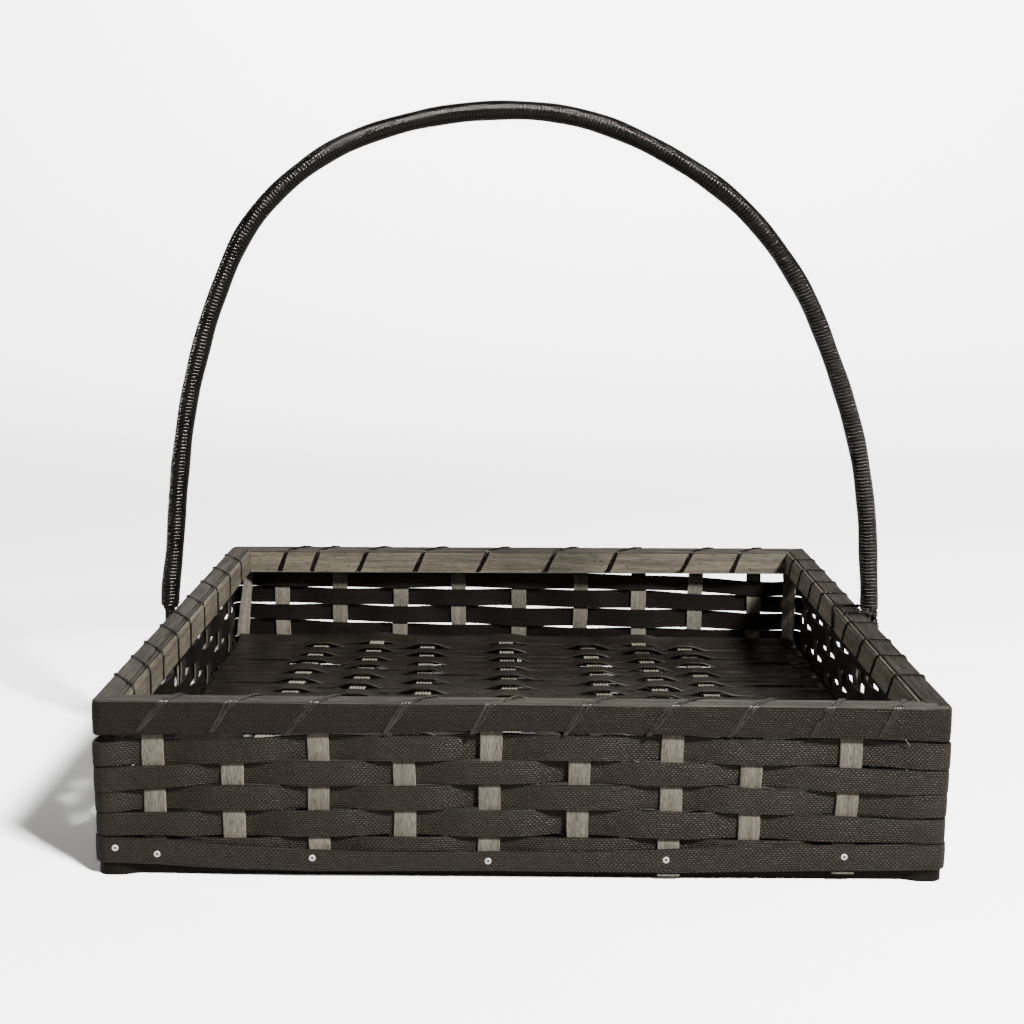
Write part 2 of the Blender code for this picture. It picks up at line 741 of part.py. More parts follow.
def mat_shell():
    """A mat of crosswise strips with its edges turned down, open underneath."""
    profile = mat_profile()
    count = len(profile)
    points = [(x, y, z) for x in (-mat_edge, mat_edge) for y, z in profile]
    points.extend((x, y, MAT_SKIRT_FOOT) for x in (-mat_edge, mat_edge)
                  for y in (-mat_edge, mat_edge))
    points.extend((x, y, z) for z in (MAT_SKIRT_FOOT, mat_underside)
                  for x in (-mat_skirt_inner, mat_skirt_inner)
                  for y in (-mat_skirt_inner, mat_skirt_inner))
    faces = [(i, i + 1, i + 1 + count, i + count) for i in range(count - 1)]
    foot, inner, ceiling = 2 * count, 2 * count + 4, 2 * count + 8
    faces.append((*range(count), foot + 1, foot))
    faces.append((*range(count, 2 * count), foot + 3, foot + 2))
    faces.append((0, count, foot + 2, foot))
    faces.append((count - 1, 2 * count - 1, foot + 3, foot + 1))
    for a, b in ((0, 1), (1, 3), (3, 2), (2, 0)):
        faces.append((foot + a, foot + b, inner + b, inner + a))
        faces.append((inner + a, inner + b, ceiling + b, ceiling + a))
    faces.append((ceiling, ceiling + 1, ceiling + 3, ceiling + 2))
    return mesh_of("floor_mat", points, faces)


def warp_places(y):
    """Where the middles of the pale lengthwise strips lie at a place along them."""
    share = max(0.0, y / half_width)
    return [half_width * (middle + (back - middle) * share)
            for back, middle in zip(WARP_BACK_SHARES, WARP_MIDDLE_SHARES)]


def boxes_mesh(name, boxes):
    """Separate boxes in one mesh, each given by its two ends along x, y and z."""
    points, faces = [], []
    for xs, ys, zs in boxes:
        first = len(points)
        points.extend((x, y, z) for z in zs
                      for x, y in ((xs[0], ys[0]), (xs[1], ys[0]), (xs[1], ys[1]), (xs[0], ys[1])))
        faces.extend(tuple(first + index for index in face) for face in tube_faces(2, 4))
    return mesh_of(name, points, faces)


def warp_patches():
    """The raised places where the pale lengthwise strips pass over the dark crosswise ones."""
    half_wide = WARP_WIDTH / 2
    half_long = (mat_strip_pitch - WARP_TUCK) / 2
    boxes = []
    for strip in range(MAT_STRIPS):
        y = mat_strip_middle(strip)
        boxes.extend(((x - half_wide, x + half_wide), (y - half_long, y + half_long),
                      (MAT_TOP - MAT_THICKNESS / 2, mat_upper_face))
                     for warp, x in enumerate(warp_places(y)) if (warp + strip) % 2 == 0)
    return boxes_mesh("warp_patches", boxes)


def mat_slots():
    """The open slits between the crosswise strips, at every third joint, from warp to warp."""
    reach = mat_skirt_inner - MAT_MARGIN
    hold = WARP_WIDTH / 2 + MAT_SLOT_MARGIN
    boxes = []
    for strip in range(MAT_SLOT_STEP - 1, MAT_STRIPS - 1, MAT_SLOT_STEP):
        y = mat_strip_middle(strip) + mat_strip_pitch / 2
        warps = warp_places(y)
        starts = [-reach] + [x + hold for x in warps]
        ends = [x - hold for x in warps] + [reach]
        boxes.extend((ends_of, (y - MAT_SLOT_WIDTH / 2, y + MAT_SLOT_WIDTH / 2),
                      (mat_underside - MAT_SLOT_OVERRUN, MAT_TOP + MAT_SLOT_OVERRUN))
                     for ends_of in zip(starts, ends))
    return boxes_mesh("mat_slots", boxes)


def shape_with(piece, tool_mesh, finish, operation):
    """Add a hidden tool body to a piece, or cut it out of the piece."""
    tool = object_of(tool_mesh.name, tool_mesh, finish)
    tool.hide_render = True
    tool.display_type = "WIRE"
    change = piece.modifiers.new(tool_mesh.name, "BOOLEAN")
    change.operation = operation
    change.solver = "EXACT"
    change.object = tool


def make_floor_mat():
    mat = object_of("floor_mat", mat_shell(), dark_cane())
    shape_with(mat, warp_patches(), pale_cane(), "UNION")
    shape_with(mat, mat_slots(), dark_cane(), "DIFFERENCE")


clear_scene()
make_stakes()
make_corner_posts()
for row_number in range(1, ROW_COUNT + 1):
    make_weaver_row(row_number)
make_bands()
make_rim()
make_lashing("rim_lashing_front", FRONT, FRONT_LASH_SHARES)
make_lashing("rim_lashing_right_front", RIGHT, RIGHT_FRONT_LASH_SHARES)
make_lashing("rim_lashing_right_back", RIGHT, RIGHT_BACK_LASH_SHARES)
make_lashing("rim_lashing_back", BACK, BACK_LASH_SHARES)
make_lashing("rim_lashing_left", LEFT, LEFT_LASH_SHARES)
make_handle_core()
make_handle_wrap()
make_handle_tie()
make_floor_mat()
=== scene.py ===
import math

import bpy
import numpy as np
from mathutils import Matrix, Vector
from mathutils.geometry import interpolate_bezier


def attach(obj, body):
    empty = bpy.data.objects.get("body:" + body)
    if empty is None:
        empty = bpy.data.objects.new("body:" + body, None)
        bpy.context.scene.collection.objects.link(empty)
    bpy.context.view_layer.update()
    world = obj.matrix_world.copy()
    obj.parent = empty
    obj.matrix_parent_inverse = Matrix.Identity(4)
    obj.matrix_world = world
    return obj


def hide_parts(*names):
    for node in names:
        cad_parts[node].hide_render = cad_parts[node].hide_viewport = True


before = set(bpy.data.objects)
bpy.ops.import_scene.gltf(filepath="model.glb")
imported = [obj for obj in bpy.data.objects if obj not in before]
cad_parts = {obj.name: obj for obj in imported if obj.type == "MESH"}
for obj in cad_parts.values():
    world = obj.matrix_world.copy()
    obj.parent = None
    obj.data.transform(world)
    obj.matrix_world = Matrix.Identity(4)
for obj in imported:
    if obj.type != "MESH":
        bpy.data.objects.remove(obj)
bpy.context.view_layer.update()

# The studio
# A plain white sweep under and behind the basket. The main light stands in front on the right,
# weak ones beside the camera and on the left, and one lights the backdrop alone. The camera
# stands in front and looks down a little, and the room behind it is dim.
CAMERA_PLACE = (-0.0068, -0.8373, 0.2657)
CAMERA_LENS = 58.0
CAMERA_TURN, CAMERA_TILT, CAMERA_ROLL = -0.155, 9.419, 0.540
SWEEP_HALF_WIDTH, SWEEP_FRONT, SWEEP_BACK, SWEEP_RADIUS, SWEEP_TOP = 4.0, -2.2, 2.4, 1.2, 4.0
PAPER_COLOUR, PAPER_SHOWN, PAPER_UNDER_SHADE = (0.34, 0.33, 0.32, 1), 2.95, 0.5
ROOM_COLOUR, ROOM_FRONT, ROOM_BACK, ROOM_SHOWN = (1.0, 0.94, 0.88, 1), 0.012, 0.075, 4.0

camera = bpy.data.objects.new("camera", bpy.data.cameras.new("camera"))
camera.data.lens = CAMERA_LENS
camera.data.sensor_width = 36.0
camera.location = CAMERA_PLACE
camera.rotation_euler = (
    Matrix.Rotation(math.radians(CAMERA_TURN), 3, "Z")
    @ Matrix.Rotation(math.radians(90 - CAMERA_TILT), 3, "X")
    @ Matrix.Rotation(math.radians(CAMERA_ROLL), 3, "Z")
).to_euler()
bpy.context.scene.collection.objects.link(camera)
bpy.context.scene.camera = camera

profile = [(SWEEP_FRONT, 0.0), (-1.0, 0.0), (SWEEP_BACK - SWEEP_RADIUS, 0.0)]
for step in range(1, 13):
    angle = math.pi / 2 * step / 12
    profile.append((SWEEP_BACK - SWEEP_RADIUS + SWEEP_RADIUS * math.sin(angle),
                    SWEEP_RADIUS - SWEEP_RADIUS * math.cos(angle)))
profile.append((SWEEP_BACK, SWEEP_TOP))
sweep_mesh = bpy.data.meshes.new("studio_sweep")
sweep_mesh.from_pydata(
    [(x, y, z) for y, z in profile for x in (-SWEEP_HALF_WIDTH, SWEEP_HALF_WIDTH)], [],
    [(2 * k, 2 * k + 1, 2 * k + 3, 2 * k + 2) for k in range(len(profile) - 1)])
sweep_mesh.shade_smooth()
sweep = bpy.data.objects.new("studio_sweep", sweep_mesh)
bpy.context.scene.collection.objects.link(sweep)


def add_node(tree, kind, inputs=None, **settings):
    """A shader node, its inputs set from numbers, colours or other nodes' outputs."""
    node = tree.nodes.new(kind)
    for key, value in settings.items():
        setattr(node, key, value)
    for key, value in (inputs or {}).items():
        if isinstance(value, bpy.types.NodeSocket):
            tree.links.new(value, node.inputs[key])
        else:
            node.inputs[key].default_value = value
    return node


def sums(tree, operation, a, b=0.0):
    return add_node(tree, "ShaderNodeMath", {0: a, 1: b}, operation=operation).outputs[0]


def spread(tree, value, low, high, to_low=0.0, to_high=1.0):
    return add_node(tree, "ShaderNodeMapRange", {
        "Value": value, "From Min": low, "From Max": high, "To Min": to_low,
        "To Max": to_high}).outputs[0]


paper = bpy.data.materials.new("studio_paper")
paper.use_nodes = True
sheet = paper.node_tree
sheet.nodes.remove(sheet.nodes["Principled BSDF"])
# The paper is shown brighter than it lights the basket, and under the basket itself it is
# painted darker, a painted shade
ground = add_node(sheet, "ShaderNodeNewGeometry").outputs["Position"]
reach = add_node(sheet, "ShaderNodeVectorMath", {0: ground}, operation="ABSOLUTE").outputs[0]
apart = add_node(sheet, "ShaderNodeSeparateXYZ", {0: reach}).outputs
shown = spread(sheet, sums(sheet, "MAXIMUM", apart[0], apart[1]), 0.165, 0.172,
               PAPER_UNDER_SHADE, PAPER_SHOWN)
lit = add_node(sheet, "ShaderNodeBsdfDiffuse", {"Color": PAPER_COLOUR}).outputs[0]
seen = add_node(sheet, "ShaderNodeBsdfDiffuse", {"Color": shown}).outputs[0]
by_camera = add_node(sheet, "ShaderNodeLightPath").outputs["Is Camera Ray"]
blend = add_node(sheet, "ShaderNodeMixShader", {0: by_camera, 1: lit, 2: seen}).outputs[0]
sheet.links.new(blend, sheet.nodes["Material Output"].inputs["Surface"])
sweep_mesh.materials.append(paper)

LIGHTS = (
    ("backdrop_light", (0.0, 1.0, 2.4), (0, 2.4, 0.9), 3.0, 0.6, 34.0, 100),
    ("key_light", (1.40, -1.69, 2.09), (0, 0, 0.05), 0.46, 0.46, 230.0, 180),
    ("camera_light", (-0.20, -1.6, 0.70), (0, 0, 0.14), 0.25, 0.25, 1.6, 180),
    ("left_light", (-1.0, 0.1, 0.55), (0.166, 0, 0.08), 0.12, 0.12, 0.19, 30),
)
for name, place, aim, width, depth, power, opening in LIGHTS:
    lamp = bpy.data.lights.new(name, "AREA")
    lamp.spread = math.radians(opening)
    lamp.shape, lamp.size, lamp.size_y, lamp.energy = "RECTANGLE", width, depth, power
    light = bpy.data.objects.new(name, lamp)
    light.location = place
    light.rotation_euler = (Vector(aim) - Vector(place)).to_track_quat("-Z", "Y").to_euler()
    bpy.context.scene.collection.objects.link(light)
world = bpy.data.worlds.new("studio")
bpy.context.scene.world = world
world.use_nodes = True
room = world.node_tree
look = add_node(room, "ShaderNodeTexCoord").outputs["Generated"]
ahead = add_node(room, "ShaderNodeSeparateXYZ", {0: look}).outputs["Y"]
strength = add_node(room, "ShaderNodeMix", {
    "Factor": add_node(room, "ShaderNodeLightPath").outputs["Is Camera Ray"],
    "A": spread(room, ahead, -0.5, 0.4, ROOM_FRONT, ROOM_BACK), "B": ROOM_SHOWN})
room.links.new(strength.outputs["Result"], room.nodes["Background"].inputs["Strength"])
room.nodes["Background"].inputs["Color"].default_value = ROOM_COLOUR

# The stakes
# Thirty-six flat strips of split cane, pale and unstained, stand in the four walls. Their tops
# are held between the rim's strips, their feet behind the base band, and the weavers grip them.
HALF = 0.1780
STAKE_WIDTH, STAKE_THICKNESS, STAKE_DEPTH = 0.0092, 0.0010, 0.1759
STAKE_TOP, STAKE_TAIL, STAKE_HIDDEN = 0.0742, -0.0015, 0.0012
CORNER_SINK, SINK_FROM, SINK_OVER = 0.0019, 0.052, 0.010
STAKE_PLACES = (
    (-0.1534, -0.1205, -0.0847, -0.0489, -0.0131, 0.0239, 0.0626, 0.0959, 0.1368),
    (-0.1460, -0.1095, -0.0730, -0.0365, 0.0000, 0.0365, 0.0730, 0.1095, 0.1460),
    (-0.1480, -0.1112, -0.0757, -0.0395, -0.0008, 0.0372, 0.0734, 0.1114, 0.1476),
    (-0.1460, -0.1095, -0.0730, -0.0365, 0.0000, 0.0365, 0.0730, 0.1095, 0.1460),
)
STAKE_LEANS = (
    (0.0002, 0.0002, 0.0, 0.0003, -0.0003, -0.0002, -0.0003, -0.0004, -0.0008),
    (0.0003, -0.0004, 0.0002, 0.0, 0.0, 0.0003, -0.0002, 0.0004, -0.0003),
    (-0.0002, 0.0004, -0.0003, 0.0002, 0.0, -0.0004, 0.0003, 0.0002, -0.0003),
    (0.0002, -0.0002, 0.0004, -0.0003, 0.0, 0.0002, -0.0004, 0.0003, 0.0),
)
# Heights between the rows, in millimetres, at places round the walls: 0 to 1 is the front from
# left to right, then the right, back and left walls follow
ROUND = (0.0, 0.08, 0.16, 0.25, 0.36, 0.46, 0.56, 0.67, 0.755, 0.87, 0.94, 1.0,
         1.5, 2.0, 2.09, 2.20, 2.27, 2.48, 2.58, 2.71, 2.93, 3.0, 3.5)
ROW_LINES = (
    (58.0, 58.9, 60.2, 61.3, 61.9, 62.3, 62.5, 62.4, 61.7, 61.7, 61.0, 60.6,
     58.5, 54.6, 55.4, 57.6, 59.0, 59.6, 59.8, 59.8, 59.5, 59.2, 59.2),
    (47.3, 48.2, 49.3, 50.4, 50.5, 50.9, 51.5, 51.0, 50.5, 49.7, 49.0, 48.8,
     47.8, 45.0, 45.7, 47.6, 48.6, 48.9, 49.0, 48.6, 49.0, 48.8, 48.6),
    (36.2, 38.3, 39.9, 39.5, 40.0, 40.9, 41.0, 40.8, 40.7, 38.9, 38.1, 38.4,
     37.2, 34.2, 34.8, 36.5, 36.7, 37.2, 37.7, 37.6, 38.4, 38.2, 37.8),
    (27.2, 27.8, 28.9, 29.0, 29.3, 29.9, 30.2, 29.9, 29.2, 28.4, 27.4, 27.9,
     26.6, 23.2, 23.5, 24.7, 24.5, 24.8, 26.2, 26.1, 28.3, 28.0, 27.2),
    (17.0, 17.6, 16.6, 17.5, 18.0, 18.0, 18.0, 17.8, 17.6, 17.0, 16.9, 16.5,
     16.4, 14.5, 14.5, 15.0, 15.0, 15.5, 16.0, 16.0, 17.0, 17.0, 17.0),
)
BAND_TOPS = (17.1, 16.6, 14.4, 12.3, 12.0, 12.1, 12.7, 13.7, 15.6, 16.2, 16.6, 16.6,
             15.8, 15.0, 14.8, 14.4, 14.2, 14.2, 14.3, 14.6, 15.2, 15.4, 15.6)
BAND_BOTTOMS = (6.0, 5.2, 3.8, 2.7, 3.4, 3.5, 3.7, 3.2, 4.2, 4.8, 5.3, 5.7,
                4.8, 4.6, 4.4, 4.0, 3.8, 3.8, 3.9, 4.2, 4.8, 5.0, 5.0)


def height_round(line, places):
    return np.interp(np.asarray(places) % 4, ROUND, line, period=4) / 1000


def place_round(side, s):
    return side + (np.asarray(s) + HALF) / (2 * HALF)


def wall_point(side, s, d, z):
    """A point given by its place along a wall, its distance out from the middle and its height."""
    s, d, z = np.broadcast_arrays(np.asarray(s, float), d, z)
    x, y = ((s, -d), (d, s), (-s, d), (-d, -s))[side]
    return np.stack([x, y, z], -1)


def wall_vector(side, s, d):
    return wall_point(side, s, d, 0.0)


def settled(points):
    """The rim's back left corner has sunk a little, and everything up there goes with it."""
    x, y, z = points[..., 0], points[..., 1], points[..., 2]
    share = np.clip((HALF - x) / (2 * HALF), 0, 1) * np.clip((y + HALF) / (2 * HALF), 0, 1)
    sunk = points.copy()
    sunk[..., 2] = z - CORNER_SINK * share * np.clip((z - SINK_FROM) / SINK_OVER, 0, 1)
    return sunk


def is_outside(row, number):
    """A weaver passes outside every second stake, and the next row outside the others."""
    return (row + number) % 2 == 1


def length_of(rings, lay, face):
    """A closed length of strip or cord, from rings of points along it."""
    count, around = rings.shape[:2]
    index = np.arange(count * around).reshape(count, around)
    here, there = index[:-1], index[1:]
    quads = np.stack([here, np.roll(here, -1, 1), np.roll(there, -1, 1), there], -1)
    quads = quads.reshape(-1, 4)
    points = rings.reshape(-1, 3)
    a, b, c, d = (points[quads[:, k]] - points[0] for k in range(4))
    volume = np.einsum("ij,ij->", np.cross(a, b), c) + np.einsum("ij,ij->", np.cross(a, c), d)
    ends = [index[0][::-1], index[-1]]
    if volume < 0:
        quads, ends = quads[:, ::-1], [end[::-1] for end in ends]
    return points, quads, ends, lay.reshape(-1, 3), face.reshape(-1)


def piece_of(name, lengths, finish, crease):
    """One object from several lengths, with each point's place on its strip kept for the finish."""
    base, faces = 0, []
    for points, quads, ends, _, _ in lengths:
        faces.extend((quads + base).tolist())
        faces.extend((end + base).tolist() for end in ends)
        base += len(points)
    mesh = bpy.data.meshes.new(name)
    mesh.from_pydata(np.concatenate([part[0] for part in lengths]).tolist(), [], faces)
    lay = mesh.attributes.new("lay", "FLOAT_VECTOR", "POINT")
    lay.data.foreach_set("vector", np.concatenate([part[3] for part in lengths]).ravel())
    face = mesh.attributes.new("face", "FLOAT", "POINT")
    face.data.foreach_set("value", np.concatenate([part[4] for part in lengths]))
    mesh.materials.append(finish)
    mesh.shade_smooth()
    mesh.set_sharp_from_angle(angle=math.radians(crease))
    piece = bpy.data.objects.new(name, mesh)
    bpy.context.scene.collection.objects.link(piece)
    return piece


def run_along(points):
    """How far along its line each point lies."""
    return np.concatenate([[0], np.cumsum(np.linalg.norm(np.diff(points, axis=0), axis=1))])


def cane_strip(centre, across, outward, width, thick, crown=0.0, seed=0.0, soft=0.00022):
    """A flat strip with eased edges. across and outward are unit vectors at each centre point,
    and crown is how far the strip's middle stands out."""
    count = len(centre)
    width = np.broadcast_to(np.asarray(width, float), count)
    across = np.broadcast_to(across, (count, 3))
    outward = np.broadcast_to(outward, (count, 3))
    ease, shy = soft / width, 1 - 2 * soft / thick
    away = np.array([1, 1, 1, 1, 1, shy, -shy, -1, -1, -1, -shy, shy]) * thick / 2
    one, zero = np.ones(count), np.zeros(count)
    up = np.stack([ease, one * 0.25, one * 0.5, one * 0.75, 1 - ease, one, one, 1 - ease,
                   one * 0.5, ease, zero, zero], 1)
    face = np.array([1, 1, 1, 1, 1, 0.5, 0.5, 0, 0, 0, 0.5, 0.5])
    side = (up - 0.5) * width[:, None]
    out = away[None, :] + crown * (1 - (2 * up - 1) ** 2)
    rings = centre[:, None] + across[:, None] * side[..., None] + outward[:, None] * out[..., None]
    lay = np.stack([np.broadcast_to(run_along(centre)[:, None], side.shape), side,
                    np.full(side.shape, float(seed))], -1)
    return length_of(rings, lay, np.broadcast_to(face, side.shape))


def mixed(tree, share, a, b):
    return add_node(tree, "ShaderNodeMix", {0: share, 6: a, 7: b}, data_type="RGBA").outputs[2]


def noise(tree, at, detail, scale=1.0, roughness=0.5):
    return add_node(tree, "ShaderNodeTexNoise", {
        "Vector": at, "Scale": scale, "Detail": detail, "Roughness": roughness}).outputs[0]


def stretched(tree, parts, along, across, shift=0.0):
    """A place for noise, with the strip's length and width scaled each on its own."""
    return add_node(tree, "ShaderNodeCombineXYZ", {
        0: sums(tree, "MULTIPLY", parts[0], along), 1: sums(tree, "MULTIPLY", parts[1], across),
        2: sums(tree, "ADD", parts[2], shift)}).outputs[0]


def edges_of(tree, face):
    """1 on a strip's edges and 0 on both of its faces."""
    middle = sums(tree, "SUBTRACT", sums(tree, "MULTIPLY", face, 2.0), 1.0)
    return sums(tree, "SUBTRACT", 1.0, sums(tree, "ABSOLUTE", middle))


def toned(colour, share):
    return tuple(min(1, share * part) for part in colour[:3]) + (1,)


def finish_with(tree, shader, colour, roughness, height, strength, distance):
    """Links a finish's colour, roughness and relief to its shader."""
    tree.links.new(colour, shader.inputs["Base Color"])
    tree.links.new(roughness, shader.inputs["Roughness"])
    bumps = add_node(tree, "ShaderNodeBump", {"Strength": strength, "Distance": distance,
                                              "Height": height})
    tree.links.new(bumps.outputs[0], shader.inputs["Normal"])


def new_effect(name, inputs, outputs):
    """An empty node group with named inputs and outputs."""
    effect = bpy.data.node_groups.new(name, "ShaderNodeTree")
    kinds = {"value": "NodeSocketFloat", "colour": "NodeSocketColor", "vector": "NodeSocketVector"}
    for label, kind in inputs:
        effect.interface.new_socket(name=label, in_out="INPUT", socket_type=kinds[kind])
    for label, kind in outputs:
        effect.interface.new_socket(name=label, in_out="OUTPUT", socket_type=kinds[kind])
    return effect, effect.nodes.new("NodeGroupInput"), effect.nodes.new("NodeGroupOutput")


def use_effect(tree, effect, inputs):
    return add_node(tree, "ShaderNodeGroup", inputs, node_tree=effect)


def new_finish(name, roughness, specular=0.5):
    """A material with the strip's own lie and face ready to use."""
    finish = bpy.data.materials.new(name)
    finish.use_nodes = True
    tree = finish.node_tree
    shader = tree.nodes["Principled BSDF"]
    shader.inputs["Roughness"].default_value = roughness
    shader.inputs["Specular IOR Level"].default_value = specular
    lay = add_node(tree, "ShaderNodeAttribute", attribute_name="lay").outputs["Vector"]
    face = add_node(tree, "ShaderNodeAttribute", attribute_name="face").outputs["Fac"]
    return finish, tree, shader, lay, face


# Cane fibres: fine lines along the strip, with broader streaks and a few dark specks
cane_fibres, given, given_out = new_effect(
    "cane_fibres",
    (("Lay", "vector"), ("Lines per Metre", "value"), ("Grains per Metre", "value"),
     ("Dark", "colour"), ("Light", "colour"), ("Streaks", "value"), ("Specks", "value")),
    (("Colour", "colour"), ("Height", "value"), ("Tone", "value")))
tree = cane_fibres
parts = add_node(tree, "ShaderNodeSeparateXYZ", {0: given.outputs["Lay"]}).outputs
fine = noise(tree, stretched(tree, parts, given.outputs["Grains per Metre"],
                             given.outputs["Lines per Metre"]), 3.0, roughness=0.6)
broad = noise(tree, stretched(tree, parts, 22.0, 420.0, 7.3), 2.0)
speck = noise(tree, stretched(tree, parts, 260.0, 900.0, 3.1), 1.0)
speck_mask = sums(tree, "MULTIPLY", spread(tree, speck, 0.68, 0.76), given.outputs["Specks"])
tone = sums(tree, "ADD", sums(tree, "MULTIPLY", spread(tree, fine, 0.3, 0.7), 0.6),
            sums(tree, "MULTIPLY", spread(tree, broad, 0.3, 0.7), given.outputs["Streaks"]))
tone = sums(tree, "DIVIDE", tone, sums(tree, "ADD", given.outputs["Streaks"], 0.6))
colour = mixed(tree, tone, given.outputs["Dark"], given.outputs["Light"])
colour = mixed(tree, speck_mask, colour, (0.02, 0.016, 0.012, 1))
tree.links.new(colour, given_out.inputs["Colour"])
tree.links.new(sums(tree, "SUBTRACT", spread(tree, fine, 0.25, 0.75), speck_mask),
               given_out.inputs["Height"])
tree.links.new(tone, given_out.inputs["Tone"])

# Handling wear: broad patches where the surface is a little duller or cleaner
handling_wear, given, given_out = new_effect(
    "handling_wear", (("Colour", "colour"), ("Patch Size", "value"), ("Amount", "value")),
    (("Colour", "colour"), ("Mask", "value")))
tree = handling_wear
where = add_node(tree, "ShaderNodeTexCoord").outputs["Object"]
patches = noise(tree, where, 3.0, sums(tree, "DIVIDE", 1.0, given.outputs["Patch Size"]))
mask = spread(tree, patches, 0.35, 0.65)
swing = sums(tree, "MULTIPLY", sums(tree, "SUBTRACT", mask, 0.5), given.outputs["Amount"])
worn = add_node(tree, "ShaderNodeHueSaturation", {
    "Value": sums(tree, "ADD", swing, 1.0), "Color": given.outputs["Colour"]}).outputs[0]
tree.links.new(worn, given_out.inputs["Colour"])
tree.links.new(mask, given_out.inputs["Mask"])


def pale_finish(name, dark, light, streaks, specks, lines, grains, bump, inside=0.0):
    """Unstained cane: fine fibres, with edges painted paler as a painted highlight. inside is how
    far the face that lies towards the middle is darkened, a painted shade."""
    finish, tree, shader, lay, face = new_finish(name, 0.62, 0.35)
    fibres = use_effect(tree, cane_fibres, {
        "Lay": lay, "Lines per Metre": lines, "Grains per Metre": grains, "Dark": dark,
        "Light": light, "Streaks": streaks, "Specks": specks})
    wear = use_effect(tree, handling_wear, {"Colour": fibres.outputs["Colour"],
                                            "Patch Size": 0.03, "Amount": 0.22})
    # The edges are painted paler, a painted highlight
    colour = mixed(tree, sums(tree, "MULTIPLY", edges_of(tree, face), 0.45),
                   wear.outputs["Colour"], toned(light, 1.35))
    if inside > 0:
        painted_shade = sums(tree, "MULTIPLY", spread(tree, face, 0.7, 0.4), inside)
        colour = mixed(tree, painted_shade, colour, (0.006, 0.005, 0.004, 1))
    rough = spread(tree, fibres.outputs["Tone"], 0.0, 1.0, 0.7, 0.52)
    finish_with(tree, shader, colour, rough, fibres.outputs["Height"], bump, 0.00012)
    return finish


# The stakes of the side walls get a copy whose inner face is darkened nearly black, a painted shade
stake_finish, side_stake_shaded_finish = (
    pale_finish(name, (0.045, 0.0385, 0.029, 1), (0.235, 0.208, 0.166, 1), 0.30, 0.25,
                1500.0, 300.0, 1.0, inside)
    for name, inside in (("pale_cane", 0.0), ("side_cane_painted_shade", 0.93)))
for side, side_name in enumerate(("front", "right", "back", "left")):
    lengths = []
    for number, (s, lean) in enumerate(zip(STAKE_PLACES[side], STAKE_LEANS[side]), 1):
        under = float(height_round(BAND_BOTTOMS, place_round(side, s)))
        foot = under + (STAKE_TAIL if number in (7, 9) and side == 0 else STAKE_HIDDEN)
        z = np.concatenate([foot + np.linspace(0, 0.0018, 7),
                            np.linspace(foot + 0.0026, STAKE_TOP, 60)])
        turned_out = 0.0019 * np.clip((under - 0.0003 - z) / 0.0003, 0, 1)
        lines = [height_round(line, place_round(side, s)) for line in ROW_LINES]
        lines.append(lines[-1] - 0.011)
        swell = np.zeros_like(z)
        for row in range(1, 6):
            middle, tall = (lines[row - 1] + lines[row]) / 2, lines[row - 1] - lines[row]
            way = -1.0 if is_outside(row, number) else 1.0
            swell += way * np.clip(1 - (2 * (z - middle) / tall) ** 2, 0, None)
        wander = 0.00018 * np.sin(z * 170 + 2.1 * number + side)
        across_at = s - lean * (z - 0.045) / 0.0215 + wander
        centre = settled(wall_point(side, across_at, STAKE_DEPTH + 0.00032 * swell + turned_out, z))
        width = STAKE_WIDTH * (1 + 0.02 * math.sin(3.7 * number + side)
                               + 0.012 * np.sin(z * 260 + number))
        lengths.append(cane_strip(centre, wall_vector(side, 1.0, 0.0), wall_vector(side, 0.0, 1.0),
                                  width, STAKE_THICKNESS, 0.00008, number + 10 * side))
    if side == 0:
        fibre_s, fibre_z = np.linspace(0.1587, 0.1608, 7), np.linspace(0.0624, 0.0599, 7)
        fibre_out = 0.1788 + 0.0004 * np.sin(np.linspace(0, math.pi, 7))
        lengths.append(cane_strip(wall_point(0, fibre_s, fibre_out, fibre_z), (0.766, 0.0, 0.643),
                                  (0.0, -1.0, 0.0), 0.0004, 0.0003, 0.0, 48, 0.00005))
    stakes = piece_of(f"{side_name}_stakes", lengths,
                      side_stake_shaded_finish if side in (1, 3) else stake_finish, 32)
    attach(stakes, "root")
    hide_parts(*(f"{side_name}_stake_{number}" for number in range(1, 10)))

# The corner posts
# One pale strip stands on edge across each inner corner, from the floor mat to the rim, where
# the weavers turn. The rows pinch it, so its edges are wavy.
POST_WIDTH, POST_PLACE, POST_FOOT, POST_LEAN = 0.0094, 0.1727, 0.0185, 0.0036
POST_TOPS = (0.0585, 0.0615, 0.0622, 0.0580)
POST_INSETS = ((0.0008, 0.0008), (0.0038, 0.0034), (0.0028, 0.0006), (0.0008, 0.0008))
posts = []
for corner in range(4):
    z = np.linspace(POST_FOOT, POST_TOPS[corner], 45)
    rise = (z - POST_FOOT) / (POST_TOPS[corner] - POST_FOOT)
    pinch = 0.035 * np.sin(2 * math.pi * (z - 0.017) / 0.0107 + corner)
    top_inset, foot_inset = POST_INSETS[corner]
    place = POST_PLACE - foot_inset - (top_inset - foot_inset) * rise
    lean = math.sqrt(0.5)
    narrow = rise ** 1.3 if corner == 2 else 0 * rise
    centre = wall_point(corner, place, place, z) - POST_LEAN * narrow[:, None] * wall_vector(
        corner, lean, -lean)
    posts.append(cane_strip(centre, wall_vector(corner, lean, -lean),
                            wall_vector(corner, lean, lean),
                            POST_WIDTH * (1 + pinch) * (1 - 0.38 * narrow),
                            STAKE_THICKNESS, 0.0001, 50 + corner))
corner_posts = piece_of("corner_posts", posts, stake_finish, 32)
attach(corner_posts, "root")
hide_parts(*(f"corner_post_{end}" for end in (
    "front_right", "back_right", "back_left", "front_left")))

